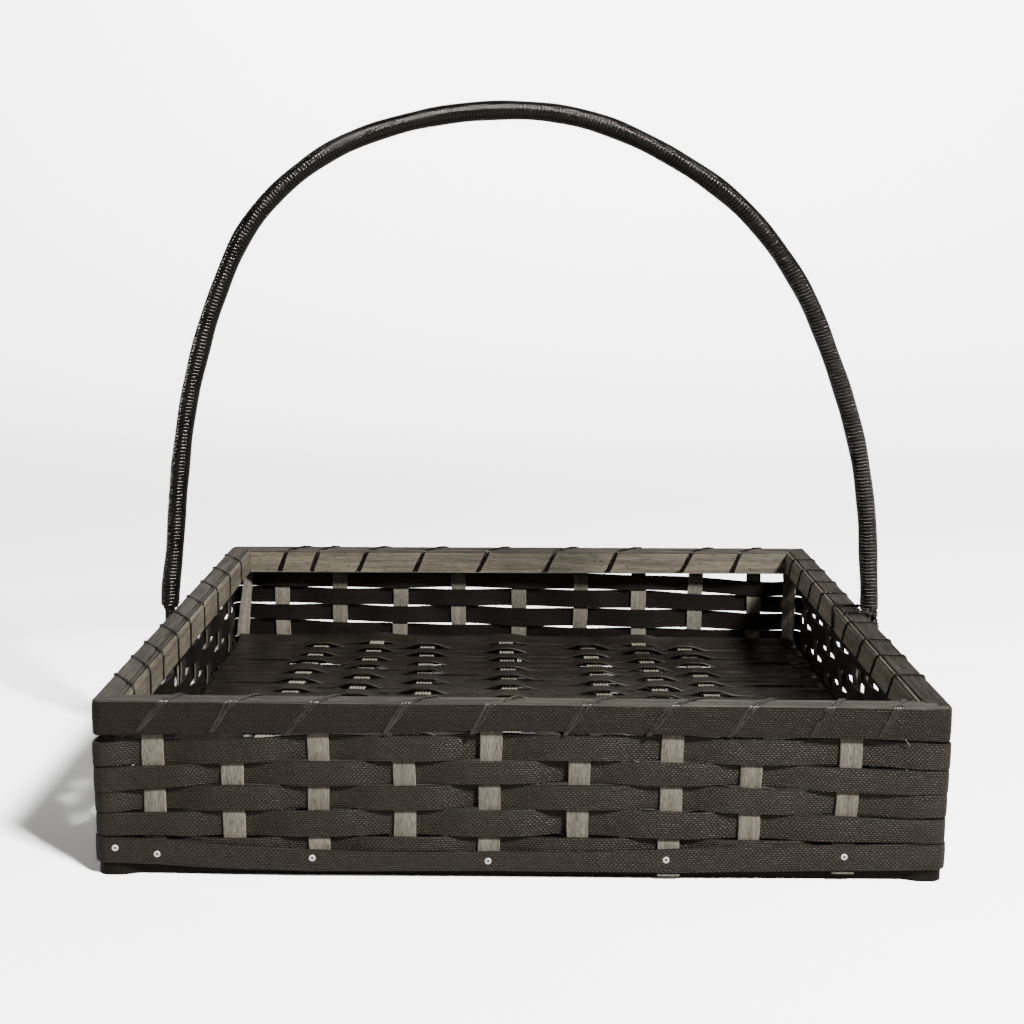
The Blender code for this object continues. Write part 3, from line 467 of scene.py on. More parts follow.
# The weavers
# Five rows of flat cane, stained dark brown and pressed with a fine scale pattern on the outer
# face. Each is one strip, woven right round the stakes. Its ends lap inside the front wall, but
# those of the lowest row meet in the middle of the back.
WEAVER_THICKNESS = 0.0010
WEAVER_OUT, WEAVER_IN = 0.1773, 0.1748
HOLD_OUT, HOLD_IN, HOLD_IN_SIDES = 0.0080, 0.0046, 0.0068
OVER_HANDLE = 0.1799
WEAVER_CORNER = 0.0040
CORNER_OUTS = (0.1785, 0.1783, 0.1781, 0.1779, 0.1775)
ROW_GAPS = (0.34, 0.34, 0.34, 0.34, 0.34, 0.34, 0.34, 0.34, 0.34, 0.36, 0.4, 0.4,
            0.15, 0.6, 0.7, 0.8, 0.80, 0.80, 0.8, 0.75, 0.7, 0.30, 0.15)
ROW_SWELL = 0.00016

embossed_scales, given, given_out = new_effect(
    "embossed_scales",
    (("Lay", "vector"), ("Scale Length", "value"), ("Scale Width", "value")),
    (("Height", "value"),))
tree = embossed_scales
parts = add_node(tree, "ShaderNodeSeparateXYZ", {0: given.outputs["Lay"]}).outputs
drift = sums(tree, "SUBTRACT", noise(tree, given.outputs["Lay"], 2.0, 240.0), 0.5)
rise = sums(tree, "ADD", sums(tree, "DIVIDE", parts[1], given.outputs["Scale Width"]), drift)
stagger = sums(tree, "MULTIPLY", sums(tree, "PINGPONG", sums(tree, "FLOOR", rise), 1.0), 0.5)
run = sums(tree, "ADD", sums(tree, "DIVIDE", parts[0], given.outputs["Scale Length"]), stagger)
run = sums(tree, "ADD", run, sums(tree, "MULTIPLY", drift, 1.3))
along, across = (sums(tree, "MULTIPLY", sums(tree, "SUBTRACT", sums(
    tree, "FRACT", value), 0.5), 2.0) for value in (run, rise))
dome = sums(tree, "ADD", sums(tree, "MULTIPLY", sums(tree, "MULTIPLY", along, along), 0.9),
            sums(tree, "MULTIPLY", across, across))
height = sums(tree, "SQRT", sums(tree, "MAXIMUM", sums(tree, "SUBTRACT", 1.0, dome), 0.0))
tree.links.new(height, given_out.inputs["Height"])


def stained_finish(name, dark, light, scales, gloss):
    """Stained cane: pressed scales on the outer face, their tops given painted highlights and their
    hollows painted shade, plain fibres, paler edges as painted highlights and a darker stain inside.
    """
    finish, tree, shader, lay, face = new_finish(name, 0.5, gloss)
    shader.inputs["Specular Tint"].default_value = (1.0, 0.91, 0.81, 1)
    fibres = use_effect(tree, cane_fibres, {
        "Lay": lay, "Lines per Metre": 2600.0, "Grains per Metre": 90.0, "Dark": dark,
        "Light": light, "Streaks": 0.9, "Specks": 0.0})
    wear = use_effect(tree, handling_wear, {"Colour": fibres.outputs["Colour"],
                                            "Patch Size": 0.02, "Amount": 0.4})
    pressed = use_effect(tree, embossed_scales, {"Lay": lay, "Scale Length": 0.0018,
                                                 "Scale Width": 0.00095})
    outer = spread(tree, face, 0.55, 0.95)
    # The scales' tops are painted light, a painted highlight, and their hollows nearly black, a
    # painted shade
    scale_glint_share = spread(tree, pressed.outputs["Height"], 0.15, 0.9)
    scale_highlight_and_shade = mixed(tree, scale_glint_share, toned(dark, 0.05), toned(light, 1.9))
    colour = mixed(tree, sums(tree, "MULTIPLY", outer, 0.85 * scales),
                   wear.outputs["Colour"], scale_highlight_and_shade)
    inner = sums(tree, "MULTIPLY", spread(tree, face, 0.45, 0.05), 0.75)
    colour = mixed(tree, inner, colour, (0.0035, 0.0032, 0.0029, 1))
    # The edges are painted a little paler, a painted highlight
    colour = mixed(tree, sums(tree, "MULTIPLY", edges_of(tree, face), 0.12), colour,
                   toned(light, 1.6))
    rough = spread(tree, pressed.outputs["Height"], 0.2, 1.0, 0.44, 0.32)
    relief = sums(tree, "MULTIPLY", pressed.outputs["Height"], sums(
        tree, "MULTIPLY", outer, scales))
    relief = sums(tree, "ADD", relief, sums(tree, "MULTIPLY", fibres.outputs["Height"], 0.35))
    finish_with(tree, shader, colour, rough, relief, 1.0, 0.00021)
    return finish


weaver_finish = stained_finish("stained_cane", (0.0052, 0.0043, 0.0033, 1),
                               (0.0165, 0.0132, 0.0100, 1), 1.0, 0.36)


def ease(share):
    return share * share * (3 - 2 * share)


def eased(x, knots, values):
    """Values at places between knots, with level runs into and out of each knot."""
    knots, values = np.asarray(knots), np.asarray(values)
    upper = np.clip(np.searchsorted(knots, x), 1, len(knots) - 1)
    share = np.clip((x - knots[upper - 1]) / (knots[upper] - knots[upper - 1]), 0, 1)
    return values[upper - 1] + (values[upper] - values[upper - 1]) * ease(share)


def unit(vectors):
    return vectors / np.linalg.norm(vectors, axis=1)[:, None]


def weave_depth(row, side, s):
    """How far out a weaver lies along one wall: flat on each stake, easing from in to out."""
    places = STAKE_PLACES[side]
    corner_out = CORNER_OUTS[row - 1]
    knots, depths = [-corner_out + WEAVER_CORNER], [corner_out]
    for number, place in enumerate(places, 1):
        depth = WEAVER_OUT if is_outside(row, number) else WEAVER_IN
        if side in (1, 3) and number == 5 and depth == WEAVER_OUT and row < 5:
            depth = OVER_HANDLE
        hold = HOLD_IN_SIDES if side in (1, 3) else HOLD_IN
        if depth > WEAVER_IN:
            hold = HOLD_OUT
        knots.extend([place - hold, place + hold])
        depths.extend([depth, depth])
    knots.append(corner_out - WEAVER_CORNER)
    depths.append(corner_out)
    return eased(s, knots, depths)


def round_path(depth_of, corner_depth, radius, pace=0.0020):
    """Points in plan right round the basket, and each one's place round it."""
    points, places = [], []
    reach = corner_depth - radius
    for side in range(4):
        s = np.linspace(-reach, reach, int(2 * reach / pace))[:-1]
        points.append(wall_point(side, s, depth_of(side, s), 0.0)[:, :2])
        places.append(place_round(side, s))
        angle = np.linspace(0, math.pi / 2, 8)[:-1]
        s, d = reach + radius * np.sin(angle), reach + radius * np.cos(angle)
        points.append(wall_point(side, s, d, 0.0)[:, :2])
        places.append(np.where(s < d, place_round(side, s), place_round(side + 1, -d)))
    return np.concatenate(points), np.concatenate(places) % 4


def strip_round(points, places, first, extra, low, high, thick, crown, seed, tuck=0.0):
    """A strip on edge along a path round the basket. It starts at the place called first and
    runs on past its own start by extra points, where it is tucked inwards."""
    count = len(points)
    start = int(np.argmin(np.abs((places - first + 2) % 4 - 2)))
    order = (start + np.arange(count + extra)) % count
    plan, place = points[order], places[order]
    tangent = unit(points[(order + 1) % count] - points[(order - 1) % count])
    outward = np.stack([tangent[:, 1], -tangent[:, 0], np.zeros(len(order))], 1)
    if extra > 0:
        share = np.clip((np.arange(len(order)) - count + 7) / 6.0, 0, 1)
        plan = plan - outward[:, :2] * (tuck * ease(share))[:, None]
    bottom, top = low(place), high(place)
    centre = np.column_stack([plan, (bottom + top) / 2])
    return cane_strip(centre, (0.0, 0.0, 1.0), outward, top - bottom, thick, crown, seed)


def swell_round(row, places):
    """1 where a row lies outside a stake, 0 elsewhere and round the corners."""
    total = np.zeros(len(places))
    for side in range(4):
        for number, s in enumerate(STAKE_PLACES[side], 1):
            if is_outside(row, number):
                away = np.abs((places - place_round(side, s) + 2) % 4 - 2) / 0.095
                total += np.clip(1 - away ** 2, 0, None)
    return np.clip(total, 0, 1)


for row in range(1, 6):
    path, places = round_path(lambda side, s: weave_depth(row, side, s), CORNER_OUTS[row - 1],
                              WEAVER_CORNER)

    def low(place, row=row):
        gap = height_round(ROW_GAPS, place) / 2
        wander = 0.00010 * np.sin(place * 19 + row * 2.3)
        wander += 0.35 * gap * np.sin(place * 14.3 + row * 1.9)
        if row == 5:
            return height_round(ROW_LINES[4], place) - 0.0104 + wander
        swell = ROW_SWELL * swell_round(row, place)
        return height_round(ROW_LINES[row], place) + gap - swell + wander

    def high(place, row=row):
        gap = height_round(ROW_GAPS, place) / 2
        wander = 0.00010 * np.sin(place * 23 + row * 1.7)
        wander += 0.35 * gap * np.sin(place * 11.7 + row * 2.6)
        swell = ROW_SWELL * swell_round(row, place) if row > 1 else 0.0
        return height_round(ROW_LINES[row - 1], place) - gap + swell + wander

    stake = 5 if not is_outside(row, 5) else 6
    first, extra, tuck = place_round(0, STAKE_PLACES[0][stake - 1] - 0.005), 9, 0.0013
    if row == 5:
        first, extra, tuck = 2.5, 0, 0.0
    weaver = piece_of(f"weaver_{row}", [strip_round(
        path, places, first, extra, low, high, WEAVER_THICKNESS, 0.00018, row, tuck)],
        weaver_finish, 32)
    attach(weaver, "root")
    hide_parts(f"weaver_row_{row}")

# The base band and the foot band
# The base band is a stained strip nailed round the outside of the stakes' feet. The foot band
# stands inside them on edge, holds the floor mat up, and is what the basket stands on.
BAND_DEPTH, BAND_THICKNESS = 0.1785, 0.0010
FOOT_DEPTH, FOOT_THICKNESS, FOOT_TOP = 0.1744, 0.0015, 0.0155
FOOT_FLARE, FLARE_FROM, FLARE_LENGTH = 0.0025, 0.160, 0.008
path, places = round_path(lambda side, s: np.full(len(s), BAND_DEPTH), BAND_DEPTH, 0.0052)
base_band = piece_of("base_band_strip", [strip_round(
    path, places, 2.5, 0,
    lambda place: height_round(BAND_BOTTOMS, place) + 0.0001 * np.sin(place * 31),
    lambda place: height_round(BAND_TOPS, place) + 0.0001 * np.sin(place * 27 + 1),
    BAND_THICKNESS, 0.00015, 21)], weaver_finish, 32)
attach(base_band, "root")
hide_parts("base_band")


def foot_depth(side, s):
    """The foot band flares past the last stakes, so that its corners stand under the base band."""
    return FOOT_DEPTH + FOOT_FLARE * ease(np.clip((np.abs(s) - FLARE_FROM) / FLARE_LENGTH, 0, 1))


# The foot band gets a darker copy of the stained cane, a painted shade for the shadow under the base
# band
foot_shaded_finish = stained_finish("foot_stained_cane_painted_shade", (0.0030, 0.0025, 0.0020, 1),
                             (0.0070, 0.0058, 0.0046, 1), 0.4, 0.22)
path, places = round_path(foot_depth, FOOT_DEPTH + FOOT_FLARE, 0.0040, 0.003)
foot_band = piece_of("foot_band_strip", [strip_round(
    path, places, 2.5, 0, lambda place: np.zeros(len(place)),
    lambda place: np.full(len(place), FOOT_TOP), FOOT_THICKNESS, 0.0, 22)], foot_shaded_finish, 32)
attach(foot_band, "root")
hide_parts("foot_band")

# The nails
# Small round steel nails with a dimple in the head fix the base band to the odd stakes. The
# photo shows the six at the front, and the other walls have one on every second stake.
NAIL_RADIUS, NAIL_RISE, NAIL_SEAT = 0.00140, 0.00028, 0.00015
FRONT_NAILS = ((-0.1698, 0.0125), (-0.1523, 0.0100), (-0.0874, 0.0088), (-0.0137, 0.0081),
               (0.0609, 0.0092), (0.1355, 0.0112))
nail_finish, tree, shader, lay, face = new_finish("nail_steel", 0.32)
shader.inputs["Metallic"].default_value = 0.3
grime = noise(tree, lay, 3.0, 900.0)
# The dimple in each head is painted nearly black, a painted shade
dimple_shade = spread(tree, face, 0.0, 0.35)
colour = mixed(tree, dimple_shade, (0.05, 0.046, 0.042, 1), (0.88, 0.87, 0.84, 1))
colour = mixed(tree, spread(tree, grime, 0.5, 0.8, 0.0, 0.4), colour,
               (0.35, 0.33, 0.30, 1))
tree.links.new(colour, shader.inputs["Base Color"])
tree.links.new(spread(tree, grime, 0.3, 0.8, 0.25, 0.5), shader.inputs["Roughness"])
nail_lengths = []
nail_profile = ((1.0, -0.4, 1.0), (1.0, 0.25, 1.0), (0.92, 0.7, 1.0), (0.76, 1.0, 1.0),
                (0.60, 0.92, 0.7), (0.46, 0.40, 0.1), (0.10, 0.20, 0.0))
for side in range(4):
    spots = FRONT_NAILS if side == 0 else tuple(
        (s + 0.001, 0.0100) for s in STAKE_PLACES[side][::2])
    for number, (s, z) in enumerate(spots):
        turn = np.linspace(0, 2 * math.pi, 20, endpoint=False)
        rings = np.stack([wall_point(
            side, s + NAIL_RADIUS * reach * np.cos(turn),
            BAND_DEPTH + BAND_THICKNESS / 2 + NAIL_SEAT + NAIL_RISE * rise,
            z + NAIL_RADIUS * reach * np.sin(turn)) for reach, rise, _ in nail_profile])
        face = np.broadcast_to(np.array([[tone] for _, _, tone in nail_profile]), rings.shape[:2])
        lay = np.broadcast_to(rings[..., :1] * 0 + 0.13 * number + side, rings.shape) + rings
        nail_lengths.append(length_of(rings, lay, face))
nails = piece_of("band_nails", nail_lengths, nail_finish, 50)
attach(nails, "root")

# The rim
# A dark outer strip and a pale lining strip hold the tops of the stakes between them, over a
# core cane. Two or three grey-brown canes lie side by side on top, mitred at the corners.
RIM_TOP, RIM_FOOT = 0.0760, 0.0628
RIM_INNER, RIM_OUTER = 0.1657, 0.1786
RIM_ROUND, RIM_STRIP_THICKNESS, RIM_STRIP_TOP = 0.0036, 0.0011, 0.0754
CORE_DEPTH, CORE_LEVEL, CORE_HEIGHT, CORE_THICKNESS, CORE_END = 0.1712, 0.0684, 0.0108, 0.0066, 0.1700
RIM_FEET = (61.0, 61.7, 62.3, 62.6, 63.6, 64.4, 64.3, 63.3, 62.7, 62.4, 61.8, 61.2,
            62.2, 62.4, 62.8, 62.6, 62.2, 61.9, 61.5, 61.4, 61.4, 61.4, 62.2)
rim_strip_finish = stained_finish("rim_stained_cane", (0.0040, 0.0032, 0.0023, 1),
                                  (0.0115, 0.0093, 0.0070, 1), 0.8, 0.30)
strip_depth = RIM_OUTER - RIM_STRIP_THICKNESS / 2
path, places = round_path(lambda side, s: np.full(len(s), strip_depth), strip_depth, RIM_ROUND)


def settled_length(length):
    """A length made level, let down with the sunk corner."""
    return (settled(length[0]),) + length[1:]


outer_strip = piece_of("rim_outer", [settled_length(strip_round(
    path, places, 2.5, 0, lambda place: height_round(RIM_FEET, place),
    lambda place: RIM_STRIP_TOP + 0.0001 * np.sin(place * 17),
    RIM_STRIP_THICKNESS, 0.0002, 31))], rim_strip_finish, 32)
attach(outer_strip, "root")
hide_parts("rim_outer_strip")


def mitred_length(side, section, seed):
    """A length along one wall from its section, a loop of places out and heights, cut at 45
    degrees at both ends and rounded where it lies outside the corner's round."""
    depths, levels = (np.array(values) for values in zip(*section))
    bend = RIM_OUTER - RIM_ROUND
    rounding = depths > bend
    straight_end = np.where(rounding, bend, depths)[None] - 0.012
    turn = np.linspace(0, 1, 7)[1:, None]
    angle = turn * math.pi / 4
    straight = np.linspace(0, 1, 33)[:, None] * straight_end
    end_s = np.where(rounding, np.where(turn < 0.3, bend - 0.012 + 0.04 * turn, bend + (
        depths - bend) * np.sin((angle - 0.3 * math.pi / 4) / 0.7)),
        straight_end + (depths - 0.00010 - straight_end) * turn)
    end_d = np.where(rounding & (turn >= 0.3), bend + (depths - bend) * np.cos(
        (angle - 0.3 * math.pi / 4) / 0.7), depths + 0 * turn)
    s = np.concatenate([straight, end_s])
    d = np.concatenate([np.broadcast_to(depths, straight.shape), end_d])
    s, d = np.concatenate([-s[:0:-1], s]), np.concatenate([d[:0:-1], d])
    level = levels[None] + 0 * s
    rings = settled(wall_point(side, s, d, level))
    upright = np.ptp(levels) > np.ptp(depths)
    lay = np.stack([s, (level if upright else depths + 0 * s), np.full(s.shape, float(seed))], -1)
    return length_of(rings, lay, np.ones(s.shape))


def cane_section(outer, inner, top, bottom, ease, ridges=0):
    """A flat cane's section with eased upper edges and a slight crown, or fine ridges along it."""
    crest = [(outer + (inner - outer) * share, top + 0.0004 * math.sin(math.pi * share))
             for share in (0.25, 0.5, 0.75)]
    if ridges:
        places = np.linspace(outer - 1.6 * ease, inner + 1.6 * ease, 2 * ridges + 1)[1:-1]
        crest = [(place, top - 0.00045 * (1 - k % 2)) for k, place in enumerate(places)]
    return ((outer, bottom), (outer, top - 1.6 * ease), (outer - 0.4 * ease, top - 0.5 * ease),
            (outer - 1.6 * ease, top), *crest, (inner + 1.6 * ease, top),
            (inner + 0.4 * ease, top - 0.5 * ease), (inner, top - 1.6 * ease), (inner, bottom))


lining_finish = pale_finish("lining_cane", (0.040, 0.034, 0.024, 1), (0.205, 0.177, 0.130, 1),
                            0.6, 1.0, 1300.0, 120.0, 0.9)
cap_finish = pale_finish("cap_cane", (0.0095, 0.0080, 0.0064, 1), (0.086, 0.0725, 0.0590, 1),
                         0.5, 0.0, 1000.0, 60.0, 1.3)
LINING_THICKNESS, LINING_TOP = 0.0013, 0.0742
LINING_FEET = (0.0628, 0.0628, 0.0618, 0.0622)
lining, core = [], []
for side in range(4):
    lining.append(mitred_length(side, (
        (RIM_INNER, LINING_FEET[side] + 0.0002), (RIM_INNER, LINING_TOP - 0.0003),
        (RIM_INNER + 0.0003, LINING_TOP), (RIM_INNER + LINING_THICKNESS - 0.0002, LINING_TOP),
        (RIM_INNER + LINING_THICKNESS, LINING_TOP - 0.0002),
        (RIM_INNER + LINING_THICKNESS, LINING_FEET[side]),
        (RIM_INNER + 0.0003, LINING_FEET[side])), 61 + side))
    centre = settled(wall_point(side, np.linspace(-CORE_END, CORE_END, 30), CORE_DEPTH, CORE_LEVEL))
    core.append(cane_strip(centre, (0.0, 0.0, 1.0), wall_vector(side, 0.0, 1.0), CORE_HEIGHT,
                           CORE_THICKNESS, 0.0, 71 + side, 0.0008))
lining_piece = piece_of("rim_lining_strips", lining, lining_finish, 32)
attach(lining_piece, "root")
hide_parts("rim_lining")
core_piece = piece_of("rim_core_canes", core, cap_finish, 32)
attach(core_piece, "root")
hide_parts("rim_core")

# Each wall's canes from the outside in: their outer and inner edges and their tops
CAP_FOOT = 0.0744
CAP_CANES = (
    ((0.1782, 0.1743, 0.0757), (0.1737, 0.1701, 0.0757), (0.1695, 0.1662, 0.0753)),
    ((0.1782, 0.1684, 0.0760), (0.1677, 0.1662, 0.0751)),
    ((0.1782, 0.1743, 0.0757), (0.1737, 0.1701, 0.0757), (0.1695, 0.1662, 0.0753)),
    ((0.1782, 0.1697, 0.0758), (0.1691, 0.1679, 0.0754), (0.1673, 0.1662, 0.0750)),
)
cap, edge_canes = [], []
for side, canes in enumerate(CAP_CANES):
    for number, (outer, inner, top) in enumerate(canes):
        last = number == len(canes) - 1
        section = cane_section(outer, inner, top, CAP_FOOT, 0.0004 if last else 0.0003,
                               8 if side == 1 and number == 0 else 0)
        into = edge_canes if last and side in (1, 3) else cap
        into.append(mitred_length(side, section, 80 + 3 * side + number))
cap_piece = piece_of("rim_cap_canes", cap, cap_finish, 40)
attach(cap_piece, "root")
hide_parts("rim_cap")
edge_piece = piece_of("rim_edge_canes", edge_canes, lining_finish, 40)
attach(edge_piece, "root")

# The lashings
# Waxed dark cord of several fine strands binds the rim. It comes out under the rim between two
# stakes, climbs the outer face at a slant, crosses the top and goes down the lining.
LASH_OFF, LASH_CLEAR = 0.00030, 0.0062
# Where each lashing lies on the outer foot, the outer top edge, the inner top edge and, last,
# down on the lining, in millimetres along its wall
LASH_SLANT, LASH_LEAN = 9.4, 6
FRONT_LASHES = (
    (-157.8, -148.1, -142.5), (-129.1, -120.7, -109.3), (-97.9, -86.0, -77.3),
    (-57.3, -48.2, -35.4), (-21.2, -13.4, 0.1), (17.2, 26.5, 38.0), (51.7, 62.5, 75.6),
    (85.5, 95.8, 106.2), (119.2, 127.9, 135.5), (147.7, 155.9, 161.1),
)
BACK_LASHES = (
    (-150.7, -137.9, -132.4), (-120.4, -107.9, -101.1), (-75.6, -61.6, -55.4),
    (-36.1, -23.2, -16.9), (7.3, 18.1, 24.9), (46.1, 57.7, 63.9), (82.1, 93.0, 98.9),
    (113.4, 122.8, 128.1), (130.6, 142.8, 147.6),
)
RIGHT_FRONT_LASHES = (-127.0, -92.0, -61.0, -24.5)
RIGHT_BACK_LASHES = (44.5, 74.0, 108.3, 139.5)
LEFT_LASHES = (-150.1, -110.0, -70.0, -30.1, 8.0, 39.0, 74.0, 102.0, 134.0)
LASH_ROUTES = (
    ("rim_lashing_front", 0, [(foot, edge, inner, inner + LASH_LEAN) for foot, edge, inner in
                              FRONT_LASHES]),
    ("rim_lashing_back", 2, [(edge - LASH_SLANT, edge, inner, foot) for edge, inner, foot in
                             BACK_LASHES]),
    ("rim_lashing_right_front", 1, [(s - LASH_SLANT, s, s + 1, s + 13) for s in RIGHT_FRONT_LASHES]),
    ("rim_lashing_right_back", 1, [(s - LASH_SLANT, s, s + 1, s + 13) for s in RIGHT_BACK_LASHES]),
    ("rim_lashing_left", 3, [(s - LASH_SLANT, s, s + 21, s + 21.5) for s in LEFT_LASHES]),
)

cord_strands, given, given_out = new_effect(
    "cord_strands",
    (("Lay", "vector"), ("Twist", "value"), ("Strand Width", "value"), ("Dark", "colour"),
     ("Light", "colour")),
    (("Colour", "colour"), ("Height", "value")))
tree = cord_strands
parts = add_node(tree, "ShaderNodeSeparateXYZ", {0: given.outputs["Lay"]}).outputs
slant = sums(tree, "ADD", sums(tree, "DIVIDE", parts[1], given.outputs["Strand Width"]),
             sums(tree, "MULTIPLY", parts[0], given.outputs["Twist"]))
# The grooves between the strands are painted dark and their crests lighter, a painted shade
ridge_and_groove_shade = sums(tree, "ABSOLUTE", sums(tree, "SINE", sums(tree, "MULTIPLY", slant, math.pi)))
fuzz = noise(tree, stretched(tree, (parts[0], slant, parts[2]), 300.0, 2.0), 3.0)
tone = sums(tree, "MULTIPLY", ridge_and_groove_shade, spread(tree, fuzz, 0.3, 0.7, 0.4, 1.0))
tree.links.new(mixed(tree, tone, given.outputs["Dark"], given.outputs["Light"]),
               given_out.inputs["Colour"])
tree.links.new(sums(tree, "ADD", ridge_and_groove_shade, sums(tree, "MULTIPLY", fuzz, 0.4)),
               given_out.inputs["Height"])


def cord_finish(name, dark, light, twist, strand, roughness, gloss):
    finish, tree, shader, lay, face = new_finish(name, roughness, gloss)
    shader.inputs["Specular Tint"].default_value = (1.0, 0.93, 0.85, 1)
    strands = use_effect(tree, cord_strands, {"Lay": lay, "Twist": twist,
                                              "Strand Width": strand, "Dark": dark,
                                              "Light": light})
    wear = use_effect(tree, handling_wear, {"Colour": strands.outputs["Colour"],
                                            "Patch Size": 0.012, "Amount": 0.5})
    rough = spread(tree, wear.outputs["Mask"], 0.0, 1.0, roughness - 0.08, roughness + 0.1)
    finish_with(tree, shader, wear.outputs["Colour"], rough, strands.outputs["Height"], 0.5,
                0.0001)
    return finish


def round_rim(w):
    """A place round the rim's section, from its outer foot: distance out, height, and normal."""
    high, low = RIM_TOP + LASH_OFF, RIM_FOOT - LASH_OFF
    out, inn = RIM_OUTER + LASH_OFF, RIM_INNER - LASH_OFF
    tall, wide = high - low, out - inn
    corners = ((out, low, 0.0, 0.0009), (out, high, tall, 0.0014),
               (inn, high, tall + wide, 0.0028), (inn, low, 2 * tall + wide, 0.0009))
    reached, places = [], []
    for number, (d, z, start, bend) in enumerate(corners):
        into_d, into_z = ((-1, 1), (-1, -1), (1, -1), (1, 1))[number]
        for step in range(9):
            angle = math.radians(90 * number - 90 + step * 90 / 8)
            nd, nz = math.cos(angle), math.sin(angle)
            reached.append(start + bend * (step / 4 - 1))
            places.append((d + bend * (into_d + nd), z + bend * (into_z + nz), nd, nz))
    values = np.array(places).T
    return tuple(np.interp(w, reached, value, period=2 * (tall + wide)) for value in values)


def oval_rings(centre, first, second, half_first, half_second, turn):
    """Rings of an oval section round each centre, its half widths given in two directions."""
    return (centre[:, None] + first[:, None] * (half_first * np.cos(turn))[..., None]
            + second[:, None] * (half_second * np.sin(turn))[..., None])


def smoothed(values, reach):
    """Values along a line, each blurred over as many neighbours to each side as reach says."""
    blur = np.hanning(2 * reach + 1) / np.hanning(2 * reach + 1).sum()
    return np.convolve(np.pad(values, reach, mode="edge"), blur, "valid")


def round_cord(path, radius, seed, sides=6):
    """A cord of round section along points in space."""
    tangent = unit(np.gradient(path, axis=0))
    guide = np.zeros_like(tangent)
    guide[0] = np.cross(tangent[0], (0.3, 0.5, 0.8))
    for k in range(len(tangent)):
        before = guide[max(k - 1, 0)]
        flat = before - tangent[k] * np.dot(before, tangent[k])
        guide[k] = flat / np.linalg.norm(flat)
    beside = np.cross(tangent, guide)
    turn = np.linspace(0, 2 * math.pi, sides, endpoint=False)
    around = np.full((len(path), 1), radius)
    rings = oval_rings(path, guide, beside, around, around, turn)
    lay = np.stack(np.broadcast_arrays(run_along(path)[:, None], turn * around, seed), -1)
    return length_of(rings, lay, np.ones(rings.shape[:2]))


lash_finish = cord_finish("lashing_cord", (0.0035, 0.0029, 0.0023, 1), (0.015, 0.0125, 0.0100, 1),
                          260.0, 0.0005, 0.30, 0.38)
# The front lashings get a lighter copy of the same cord, a painted highlight on the front wall
front_lash_lit_finish = cord_finish("front_lashing_cord_painted_light", (0.004, 0.0033, 0.0026, 1),
                                (0.061, 0.0530, 0.0435, 1), 260.0, 0.0005, 0.27, 0.70)
rim_tall, rim_wide = RIM_TOP - RIM_FOOT + 2 * LASH_OFF, RIM_OUTER - RIM_INNER + 2 * LASH_OFF
turn_length = 2 * (rim_tall + rim_wide)
SPREAD_KNOTS = (0, 0.7 * rim_tall, rim_tall + 0.001, rim_tall + 0.5 * rim_wide,
                rim_tall + rim_wide, turn_length - rim_wide, turn_length)
for name, side, route in LASH_ROUTES:
    wide = side in (0, 2)
    strand_count, radius, breadth = (5, 0.00031, 0.0022) if wide else (3, 0.00038, 0.00070)
    knots, drift = [], []
    for loop, (foot, edge, inner, lean) in enumerate(route):
        foot = foot / 1000
        for stake in STAKE_PLACES[side]:
            if abs(foot - stake) < LASH_CLEAR:
                foot = stake + math.copysign(LASH_CLEAR, foot - stake)
        base = loop * turn_length
        knots.extend([base - rim_wide * 0.45, base, base + rim_tall, base + rim_tall + rim_wide,
                      base + 2 * rim_tall + rim_wide])
        drift.extend([foot, foot, edge / 1000, inner / 1000,
                      min(lean / 1000, RIM_INNER - 0.006)])
    knots.append(knots[-1] + rim_wide * 0.4)
    drift.append(drift[-1])
    w = np.arange(knots[0], knots[-1], 0.0009)
    s = smoothed(np.interp(w, knots, drift), 4)
    ds, dw = np.gradient(s), np.gradient(w)
    size = np.hypot(ds, dw)
    ds, dw = ds / size, dw / size
    spread_out = np.interp(w % turn_length, SPREAD_KNOTS, (
        0.55, 1.15, 1.30, 0.62, 0.80, 1.0, 0.55)) if wide else 1.0 + 0 * w
    strands = []
    for strand in range(strand_count):
        share = strand / (strand_count - 1) - 0.5
        offset = share * breadth * spread_out
        offset = offset + 0.00010 * np.sin(w * 420 + strand * 2.4)
        lift = (0.00016 if wide else 0.00008) * np.cos(w * 300 + strand * 2.1)
        d, z, nd, nz = round_rim(w - offset * ds)
        d, z = d + nd * lift, z + nz * lift
        path = settled(wall_point(side, s + offset * dw, d, z))
        strands.append(round_cord(path, radius, strand + 10 * side))
    lashing = piece_of(f"{name}_cord", strands, front_lash_lit_finish if side == 0 else lash_finish,
                       60)
    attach(lashing, "root")
    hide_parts(name)

# The handle
# One cane bent to an arch. Its legs pass down outside the rim, are shaved thin below it and go
# in behind the weavers. Fine black cord is wound round it in close turns, of two plies twisted.
ARCH_HALF_SPAN, ARCH_FOOT, ARCH_RISE = 0.1813, 0.0783, 0.24975
LEG_BACK, LEG_THICKNESS, LEG_WIDTH, CORE_INSET = 0.1797, 0.0040, 0.0072, 0.0003
ARCH_SHARES = (
    (-1.000, 0.000), (-0.984, 0.110), (-0.970, 0.230), (-0.950, 0.350), (-0.921, 0.460),
    (-0.855, 0.620), (-0.747, 0.781), (-0.560, 0.905), (-0.341, 0.971), (-0.085, 1.000),
    (0.150, 0.987), (0.371, 0.926), (0.594, 0.819), (0.761, 0.672), (0.866, 0.512),
    (0.943, 0.348), (0.980, 0.204), (0.992, 0.100), (1.000, 0.000),
)
WIND_PITCH, WIND_CORD, WIND_FLAT, WIND_RADIUS = 0.00175, 0.00104, 0.55, 0.00486
arch = [Vector((x * ARCH_HALF_SPAN, 0.0, ARCH_FOOT + z * ARCH_RISE)) for x, z in ARCH_SHARES]
